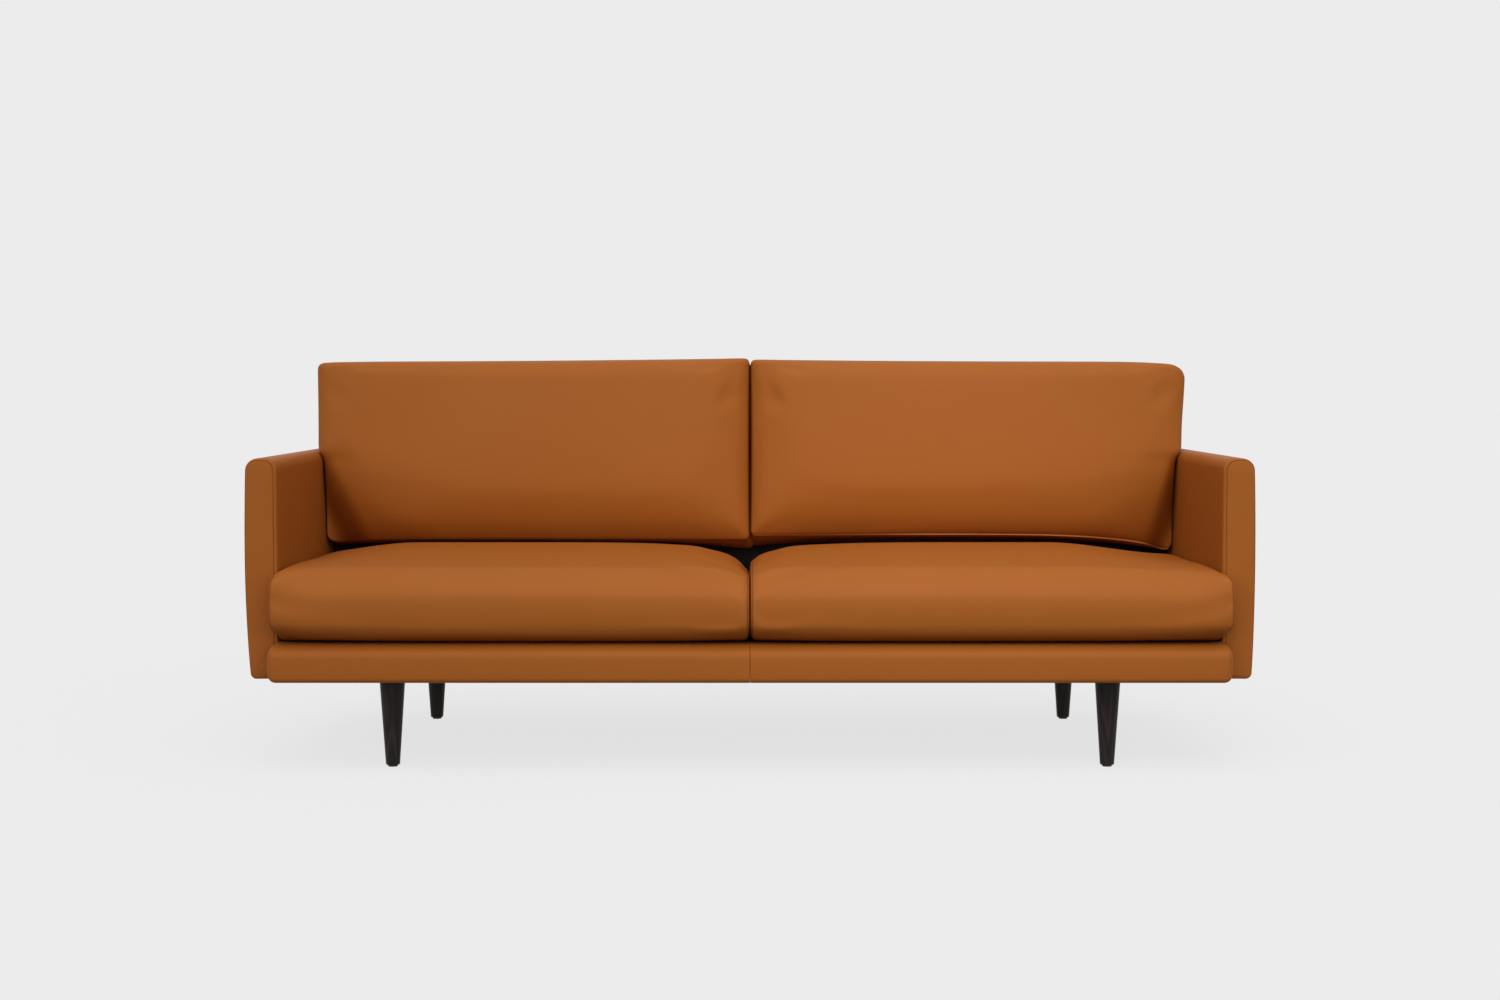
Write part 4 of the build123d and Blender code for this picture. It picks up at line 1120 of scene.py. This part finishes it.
def back_skin(name, lean):
    """The back's inside and top: its outline from the side is carried across between the arms.

    The inside leans back by the tangent of the lean times the height, less towards the rear, and below the
    rear seam the outline steps in by the thickness of the rear panel. Low on the inside, below the cushions,
    a near-black strip is painted as the shade of the deep hole there.
    """
    low, high = back_low, back_high
    outline = rounded_outline((low.y, high.y), (low.z, high.z), BACK_CORNERS, ARC_STEPS, BACK_OUTLINE_SPACING)
    ring = np.column_stack((np.zeros(len(outline)), outline))
    toward = middle_line(ring, 1, 2) - ring
    half = (high.y - low.y) / 2
    across = edge_spaced(low.x, high.x, BACK_END_STEPS, BACK_SPACING)
    from_end = np.minimum(across - low.x, high.x - across)
    inset = BACK_END_ROUND * (1.0 - quarter_round(from_end, BACK_END_ROUND))
    body = ring + (inset / half)[:, None, None] * toward
    body[:, :, 0] = across[:, None]
    rings = capped(body, (0.0, 0.0), (1, 2))
    rearward = (rings[:, :, 1] - low.y) / (high.y - low.y)
    tall = rings[:, :, 2]
    step_in = smooth_step(panel_high.z + BACK_STEP_HALF, panel_high.z - BACK_STEP_HALF, tall)
    rings[:, :, 1] += (1.0 - rearward) * (tall - low.z) * math.tan(lean)
    rings[:, :, 1] -= (high.y - panel_low.y) * step_in * smooth_step(*BACK_STEP_SPAN, rearward)
    # A near-black strip low on the inside, below the cushions, painted as the shade of the hole there
    inside = smooth_step(low.y + LINING_SHADE_SPAN[0], low.y + LINING_SHADE_SPAN[1], rings[:, :, 1])
    lining_painted_shade = inside * smooth_step(LINING_SHADE_TOP + LINING_SHADE_EDGE, LINING_SHADE_TOP - LINING_SHADE_EDGE, tall)
    return tube_skin(name, rings, {"seam": np.zeros(rings.shape[:2]), "lining_painted_shade": lining_painted_shade})


REAR_GAP = 0.0008
REAR_REACH = 0.0028
REAR_STEPS = (0.0, 0.0005, 0.0012, 0.0025, 0.005, 0.010)
REAR_SPACING = 0.020
REAR_CORNERS = (0.004, 0.004, 0.004, 0.004)
REAR_ROLL = 0.003
REAR_EDGE = 0.0004
REAR_RISE = 0.0016
REAR_SWELL = 0.0012


def rear_panel_skin(name):
    """The leather panel behind the back: a flat grid with a softly rolled edge.

    It stands out by a quarter circle beside its edge, and by the product of two cosines over its face.
    """
    low, high = panel_low, panel_high
    half_x = high.x + REAR_REACH
    half_z = (high.z - low.z) / 2 - REAR_GAP
    columns = edge_spaced(-half_x, half_x, REAR_STEPS, REAR_SPACING)
    rows = edge_spaced(-half_z, half_z, REAR_STEPS, REAR_SPACING)
    x, y, grid_x, grid_y = rounded_grid(columns, rows, REAR_CORNERS)
    roll = quarter_round(half_x - np.abs(x), REAR_ROLL) * quarter_round(half_z - np.abs(y), REAR_ROLL)
    soft = np.cos(x / half_x * math.pi / 2) * np.cos(y / half_z * math.pi / 2)
    outer_y = low.y + REAR_EDGE + REAR_RISE * roll + REAR_SWELL * soft
    tall = (low.z + high.z) / 2 + grid_y
    outer = np.stack((grid_x, outer_y, tall), axis=-1)
    inner = np.stack((grid_x, np.full_like(grid_x, low.y), tall), axis=-1)
    middle = (loop_of(outer) + loop_of(inner))[None] / 2
    count = 2 * x.size + middle.shape[1]
    return box_skin(name, outer, middle, inner, {"seam": np.zeros(count)})


# Legs
LEG_AROUND = 96
LEG_STATIONS = 40
LEG_FOOT_TURN = (0.0, 30.0, 60.0, 90.0)
LEG_TOP_STEP = 0.001
LEG_TOP_IN = 0.0008
LEG_CAP_SHARES = (0.1, 0.4, 0.75)


def leg_skin(name, node, size):
    """A turned leg: a circle carried up a straight taper, its foot edge rounded by a quarter circle."""
    low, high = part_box(node)
    centre = (low + high) / 2
    tall = high.z - low.z
    top_radius = (high.x - low.x) / 2
    turn = np.radians(LEG_FOOT_TURN)
    foot_up = size.foot_round * (1.0 - np.cos(turn))
    foot_in = size.foot_round * (1.0 - np.sin(turn))
    shaft_up = np.linspace(size.foot_round, tall - LEG_TOP_STEP, LEG_STATIONS)[1:]
    up = np.concatenate((foot_up, shaft_up, [tall]))
    radius = size.foot_radius + (top_radius - size.foot_radius) * up / tall
    radius[:len(foot_in)] -= foot_in
    radius[-1] -= LEG_TOP_IN
    angle = np.linspace(0.0, 2.0 * math.pi, LEG_AROUND + 1)[:-1]
    circle = np.column_stack((np.cos(angle), np.sin(angle), np.zeros(LEG_AROUND)))
    shares = np.array(LEG_CAP_SHARES)
    all_radius = np.concatenate((radius[0] * shares, radius, radius[-1] * shares[::-1]))
    all_up = np.concatenate((np.zeros(len(shares)), up, np.full(len(shares), tall)))
    rings = circle * all_radius[:, None, None]
    rings[:, :, 2] = (low.z + all_up)[:, None]
    rings[:, :, :2] += np.array((centre.x, centre.y))
    return tube_skin(name, rings, {})


# Stage
SENSOR_WIDTH = 36.0
SUNS = (
    {"name": "front_left_light", "share": 0.28, "spread": 50.0, "tilt": 74.0, "turn": -32.0},
    {"name": "front_right_light", "share": 0.28, "spread": 50.0, "tilt": 74.0, "turn": 32.0},
    {"name": "top_light", "share": 0.44, "spread": 60.0, "tilt": 22.0, "turn": 0.0},
)
HIGH_LAMP_PLACE = Vector((0.1, -3.3, 3.1))
HIGH_LAMP_AIM = Vector((0.46, -0.1, 0.54))
HIGH_LAMP_CONE = 28.0
HIGH_LAMP_SIZE = 0.7
FLOOR_HALF = 60.0
FLOOR_CORNERS = ((-1, -1, 0), (1, -1, 0), (1, 1, 0), (-1, 1, 0))
FLOOR_GLOW = 0.88
FLOOR_BOUNCE = (0.16, 0.16, 0.16)
WHITE = (1.0, 1.0, 1.0)


def rays_that_see(tree):
    """1 for rays from the camera, from a reflection or through a clear piece, and 0 for all others."""
    rays = tree.nodes.new("ShaderNodeLightPath")
    seen = math_node(tree, "ADD", rays.outputs["Is Camera Ray"], rays.outputs["Is Glossy Ray"], clamp=True)
    return math_node(tree, "ADD", seen, rays.outputs["Is Transmission Ray"], clamp=True)


def mix_shaders(tree, factor, first, second):
    """A shader node mixed from two others by a socket or a plain value."""
    node = tree.nodes.new("ShaderNodeMixShader")
    if isinstance(factor, float):
        node.inputs[0].default_value = factor
    else:
        tree.links.new(factor, node.inputs[0])
    tree.links.new(first.outputs[0], node.inputs[1])
    tree.links.new(second.outputs[0], node.inputs[2])
    return node


def add_suns(stage):
    """Add the main lights and give back the light that they throw on a level floor."""
    level = 0.0
    for sun in SUNS:
        light = bpy.data.lights.new(sun["name"], "SUN")
        light.energy = stage.key * sun["share"]
        light.angle = math.radians(sun["spread"])
        lamp = bpy.data.objects.new(sun["name"], light)
        lamp.rotation_euler = (math.radians(sun["tilt"]), 0.0, math.radians(sun["turn"]))
        bpy.context.scene.collection.objects.link(lamp)
        level += light.energy * math.cos(math.radians(sun["tilt"])) / math.pi
    return level


def add_high_lamp(stage):
    """Add the spot lamp that hangs high up in front of the sofa and aims at the right back cushion."""
    light = bpy.data.lights.new("high_lamp", "SPOT")
    light.energy = stage.high_lamp
    light.spot_size = math.radians(HIGH_LAMP_CONE)
    light.spot_blend = 1.0
    light.shadow_soft_size = HIGH_LAMP_SIZE
    lamp = bpy.data.objects.new("high_lamp", light)
    lamp.location = HIGH_LAMP_PLACE
    lamp.rotation_euler = (HIGH_LAMP_AIM - HIGH_LAMP_PLACE).to_track_quat("-Z", "Y").to_euler()
    bpy.context.scene.collection.objects.link(lamp)


def add_world(stage):
    """Add the light from all round, which shows as the backdrop where it is seen."""
    world = bpy.data.worlds.new("studio")
    bpy.context.scene.world = world
    world.use_nodes = True
    tree = world.node_tree
    tree.nodes.clear()
    lit = new_node(tree, "ShaderNodeBackground", None, {"Color": (*WHITE, 1.0), "Strength": stage.sky})
    shown = new_node(tree, "ShaderNodeBackground", None, {"Color": (*stage.backdrop, 1.0), "Strength": 1.0})
    mix = mix_shaders(tree, rays_that_see(tree), lit, shown)
    output = tree.nodes.new("ShaderNodeOutputWorld")
    tree.links.new(mix.outputs[0], output.inputs[0])


def add_floor(stage, level):
    """Add a wide floor in the backdrop's colour, which is darker in the light that it throws back."""
    mesh = bpy.data.meshes.new("floor")
    mesh.from_pydata((np.array(FLOOR_CORNERS) * FLOOR_HALF).tolist(), [], [(0, 1, 2, 3)])
    floor = bpy.data.objects.new("floor", mesh)
    bpy.context.scene.collection.objects.link(floor)
    material = bpy.data.materials.new("studio_floor")
    material.use_nodes = True
    tree = material.node_tree
    tree.nodes.clear()
    pale = [min(1.0, value / level) for value in stage.backdrop]
    matt = new_node(tree, "ShaderNodeBsdfDiffuse", None, {"Color": (*pale, 1.0)})
    dull = new_node(tree, "ShaderNodeBsdfDiffuse", None, {"Color": (*FLOOR_BOUNCE, 1.0)})
    glow = new_node(tree, "ShaderNodeEmission", None, {"Color": (*stage.backdrop, 1.0)})
    ground = mix_shaders(tree, FLOOR_GLOW, matt, glow)
    mix = mix_shaders(tree, rays_that_see(tree), dull, ground)
    output = tree.nodes.new("ShaderNodeOutputMaterial")
    tree.links.new(mix.outputs[0], output.inputs[0])
    mesh.materials.append(material)


# Operators
class SofaStageOperator(bpy.types.Operator):
    """Set up the camera, the floor and the light"""

    bl_idname = "sofa.stage"
    bl_label = "Stage"

    def execute(self, context):
        scene = context.scene
        stage = scene.sofa.stage
        camera = bpy.data.objects.new("camera", bpy.data.cameras.new("camera"))
        camera.location = (0.0, -stage.eye_distance, stage.eye_height)
        camera.rotation_euler = (math.pi / 2 - stage.eye_tilt, 0.0, 0.0)
        camera.data.lens = stage.lens
        camera.data.sensor_width = SENSOR_WIDTH
        scene.collection.objects.link(camera)
        scene.camera = camera
        scene.view_settings.view_transform = "Standard"
        level = stage.sky + add_suns(stage)
        add_high_lamp(stage)
        add_world(stage)
        add_floor(stage, level)
        return {"FINISHED"}


def add_cushions(stem, node_stem, maker, size, shapes, cap):
    """Make the left and the right cushion of one kind, each on its own body."""
    for side_name, side in SIDES:
        body = f"{side_name}_{stem}"
        piece = maker(f"{body}_leather", side, size, shapes[side_name])
        swell(piece, cap)
        subdivide(piece, 1)
        nodes = (f"{side_name}_{node_stem}_cover", f"{side_name}_{node_stem}_core")
        attach(piece, body, nodes, leather())


class SofaSeatOperator(bpy.types.Operator):
    """Make the two loose seat cushions"""

    bl_idname = "sofa.seat_cushions"
    bl_label = "Seat cushions"

    def execute(self, context):
        size = context.scene.sofa.seat
        add_cushions("seat_cushion", "seat", seat_skin, size, SEAT_SHAPES, SEAT_SWELL)
        return {"FINISHED"}


class SofaBackCushionOperator(bpy.types.Operator):
    """Make the two loose back cushions"""

    bl_idname = "sofa.back_cushions"
    bl_label = "Back cushions"

    def execute(self, context):
        size = context.scene.sofa.back_cushion
        stem = "back_cushion"
        add_cushions(stem, stem, back_cushion_skin, size, BACK_SHAPES, BACK_SWELL)
        return {"FINISHED"}


class SofaArmOperator(bpy.types.Operator):
    """Make the two upholstered arms"""

    bl_idname = "sofa.arms"
    bl_label = "Arms"

    def execute(self, context):
        for side_name, side in SIDES:
            size = context.scene.sofa.arm
            draw_in = size.left_draw_in if side < 0 else size.right_draw_in
            piece = arm_skin(f"{side_name}_arm_leather", side, size, draw_in)
            nodes = [f"{side_name}_arm_{part}" for part in ("cover", "foam", "front_facing", "rear_facing")]
            attach(piece, FRAME_BODY, nodes, leather())
        return {"FINISHED"}


class SofaFrontOperator(bpy.types.Operator):
    """Make the padded front of the base in two halves"""

    bl_idname = "sofa.front_border"
    bl_label = "Front border"

    def execute(self, context):
        for side_name, side in SIDES:
            piece = front_skin(f"{side_name}_front_leather", side)
            nodes = [f"{side_name}_front_cover"]
            if side > 0:
                nodes.append("front_foam")
            attach(piece, FRAME_BODY, nodes, leather())
        return {"FINISHED"}


class SofaBackOperator(bpy.types.Operator):
    """Make the upholstered back and its rear panel"""

    bl_idname = "sofa.back"
    bl_label = "Back"

    def execute(self, context):
        lean = context.scene.sofa.back_cushion.lean
        piece = back_skin("back_leather", lean)
        attach(piece, FRAME_BODY, ("back_cover", "back_foam"), leather())
        panel = rear_panel_skin("back_outer_leather")
        attach(panel, FRAME_BODY, ("back_outer_cover",), leather())
        return {"FINISHED"}


class SofaLegOperator(bpy.types.Operator):
    """Make the four turned legs"""

    bl_idname = "sofa.legs"
    bl_label = "Legs"

    def execute(self, context):
        settings = context.scene.sofa
        colours = settings.finish
        finish = wood("stained_wood", tuple(colours.leg), tuple(colours.leg_grain), rings=26.0,
                      roughness=0.42)
        for row_name in ("front", "back"):
            for side_name, _ in SIDES:
                node = f"{row_name}_{side_name}_leg"
                piece = leg_skin(f"{node}_turned", node, settings.wood)
                attach(piece, FRAME_BODY, (node,), finish)
        return {"FINISHED"}


PINE_RINGS = 9.0
PINE_ROUGHNESS = 0.6
TURN_X_TO_Z = (0.0, math.pi / 2, 0.0)
TURN_Y_TO_Z = (math.pi / 2, 0.0, 0.0)


class SofaFrameOperator(bpy.types.Operator):
    """Give every frame node that shows its finish"""

    bl_idname = "sofa.frame_finishes"
    bl_label = "Frame finishes"

    def execute(self, context):
        colours = context.scene.sofa.finish
        light = tuple(colours.pine)
        dark = tuple(colours.pine_grain)
        along_x = wood("pine_along_x", light, dark, PINE_RINGS, PINE_ROUGHNESS, TURN_X_TO_Z)
        along_y = wood("pine_along_y", light, dark, PINE_RINGS, PINE_ROUGHNESS, TURN_Y_TO_Z)
        along_z = wood("pine_along_z", light, dark, PINE_RINGS, PINE_ROUGHNESS)
        board = speckled("pressed_board", (0.36, 0.22, 0.12), (0.27, 0.16, 0.085), scale=300.0, roughness=0.6)
        webbing = cloth("woven_strap", (0.16, 0.16, 0.16), (0.06, 0.06, 0.06), threads=2200.0, roughness=0.85)
        black = cloth("black_weave", (0.05, 0.05, 0.05), (0.018, 0.018, 0.018), threads=3600.0,
                      roughness=0.95)
        felt = speckled("felt_pad", (0.62, 0.60, 0.54), (0.42, 0.40, 0.36), scale=420.0, roughness=0.9)
        steel = speckled("plated_steel", (0.66, 0.66, 0.65), (0.52, 0.52, 0.53), scale=900.0, roughness=0.35,
                         metallic=1.0)
        nylon = speckled("black_nylon", (0.06, 0.06, 0.06), (0.04, 0.04, 0.04), scale=700.0, roughness=0.5)
        finishes = {
            along_x: ("front_rail", "rear_rail", "seat_rear_rail", "back_bottom_rail", "back_top_rail"),
            along_y: ("left_side_rail", "right_side_rail", "left_leg_rail", "right_leg_rail", "centre_rail",
                      "left_arm_rails", "right_arm_rails"),
            along_z: ("left_arm_posts", "right_arm_posts", "back_uprights"),
            board: ("left_arm_boards", "right_arm_boards", "back_board"),
            webbing: ("seat_webbing", "cross_webbing", "back_webbing"),
            black: ("deck_cloth", "dust_cover"),
            felt: ("deck_felt",),
            steel: ("arm_bolts", "arm_plates", "back_bolts", "hanger_bolts", "leg_plates"),
            nylon: ("glides",),
        }
        for finish, nodes in finishes.items():
            for node in nodes:
                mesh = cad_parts[node].data
                mesh.materials.clear()
                mesh.materials.append(finish)
        return {"FINISHED"}


class SofaPanel(bpy.types.Panel):
    """Lists the sofa's pieces"""

    bl_idname = "VIEW3D_PT_sofa"
    bl_label = "Sofa"
    bl_space_type = "VIEW_3D"
    bl_region_type = "UI"
    bl_category = "Sofa"

    def draw(self, context):
        column = self.layout.column(align=True)
        for operator in OPERATORS:
            column.operator(operator.bl_idname)
        for group in ("seat", "back_cushion", "arm", "wood", "finish", "stage"):
            box = self.layout.box()
            settings = getattr(context.scene.sofa, group)
            for name in settings.__annotations__:
                box.prop(settings, name)


SETTINGS = (SofaSeat, SofaBackCushion, SofaArm, SofaWood, SofaFinish, SofaStage, SofaSettings)
OPERATORS = (SofaStageOperator, SofaSeatOperator, SofaBackCushionOperator, SofaArmOperator, SofaFrontOperator,
             SofaBackOperator, SofaLegOperator, SofaFrameOperator)


def register():
    """Register the settings, the operators and the panel."""
    for item in (*SETTINGS, *OPERATORS, SofaPanel):
        bpy.utils.register_class(item)
    bpy.types.Scene.sofa = PointerProperty(type=SofaSettings)


def unregister():
    """Take them out again."""
    del bpy.types.Scene.sofa
    for item in reversed((*SETTINGS, *OPERATORS, SofaPanel)):
        bpy.utils.unregister_class(item)


def main():
    """Make every piece."""
    register()
    bpy.ops.sofa.stage()
    bpy.ops.sofa.seat_cushions()
    bpy.ops.sofa.back_cushions()
    bpy.ops.sofa.arms()
    bpy.ops.sofa.front_border()
    bpy.ops.sofa.back()
    bpy.ops.sofa.legs()
    bpy.ops.sofa.frame_finishes()


if __name__ == "__main__":
    main()
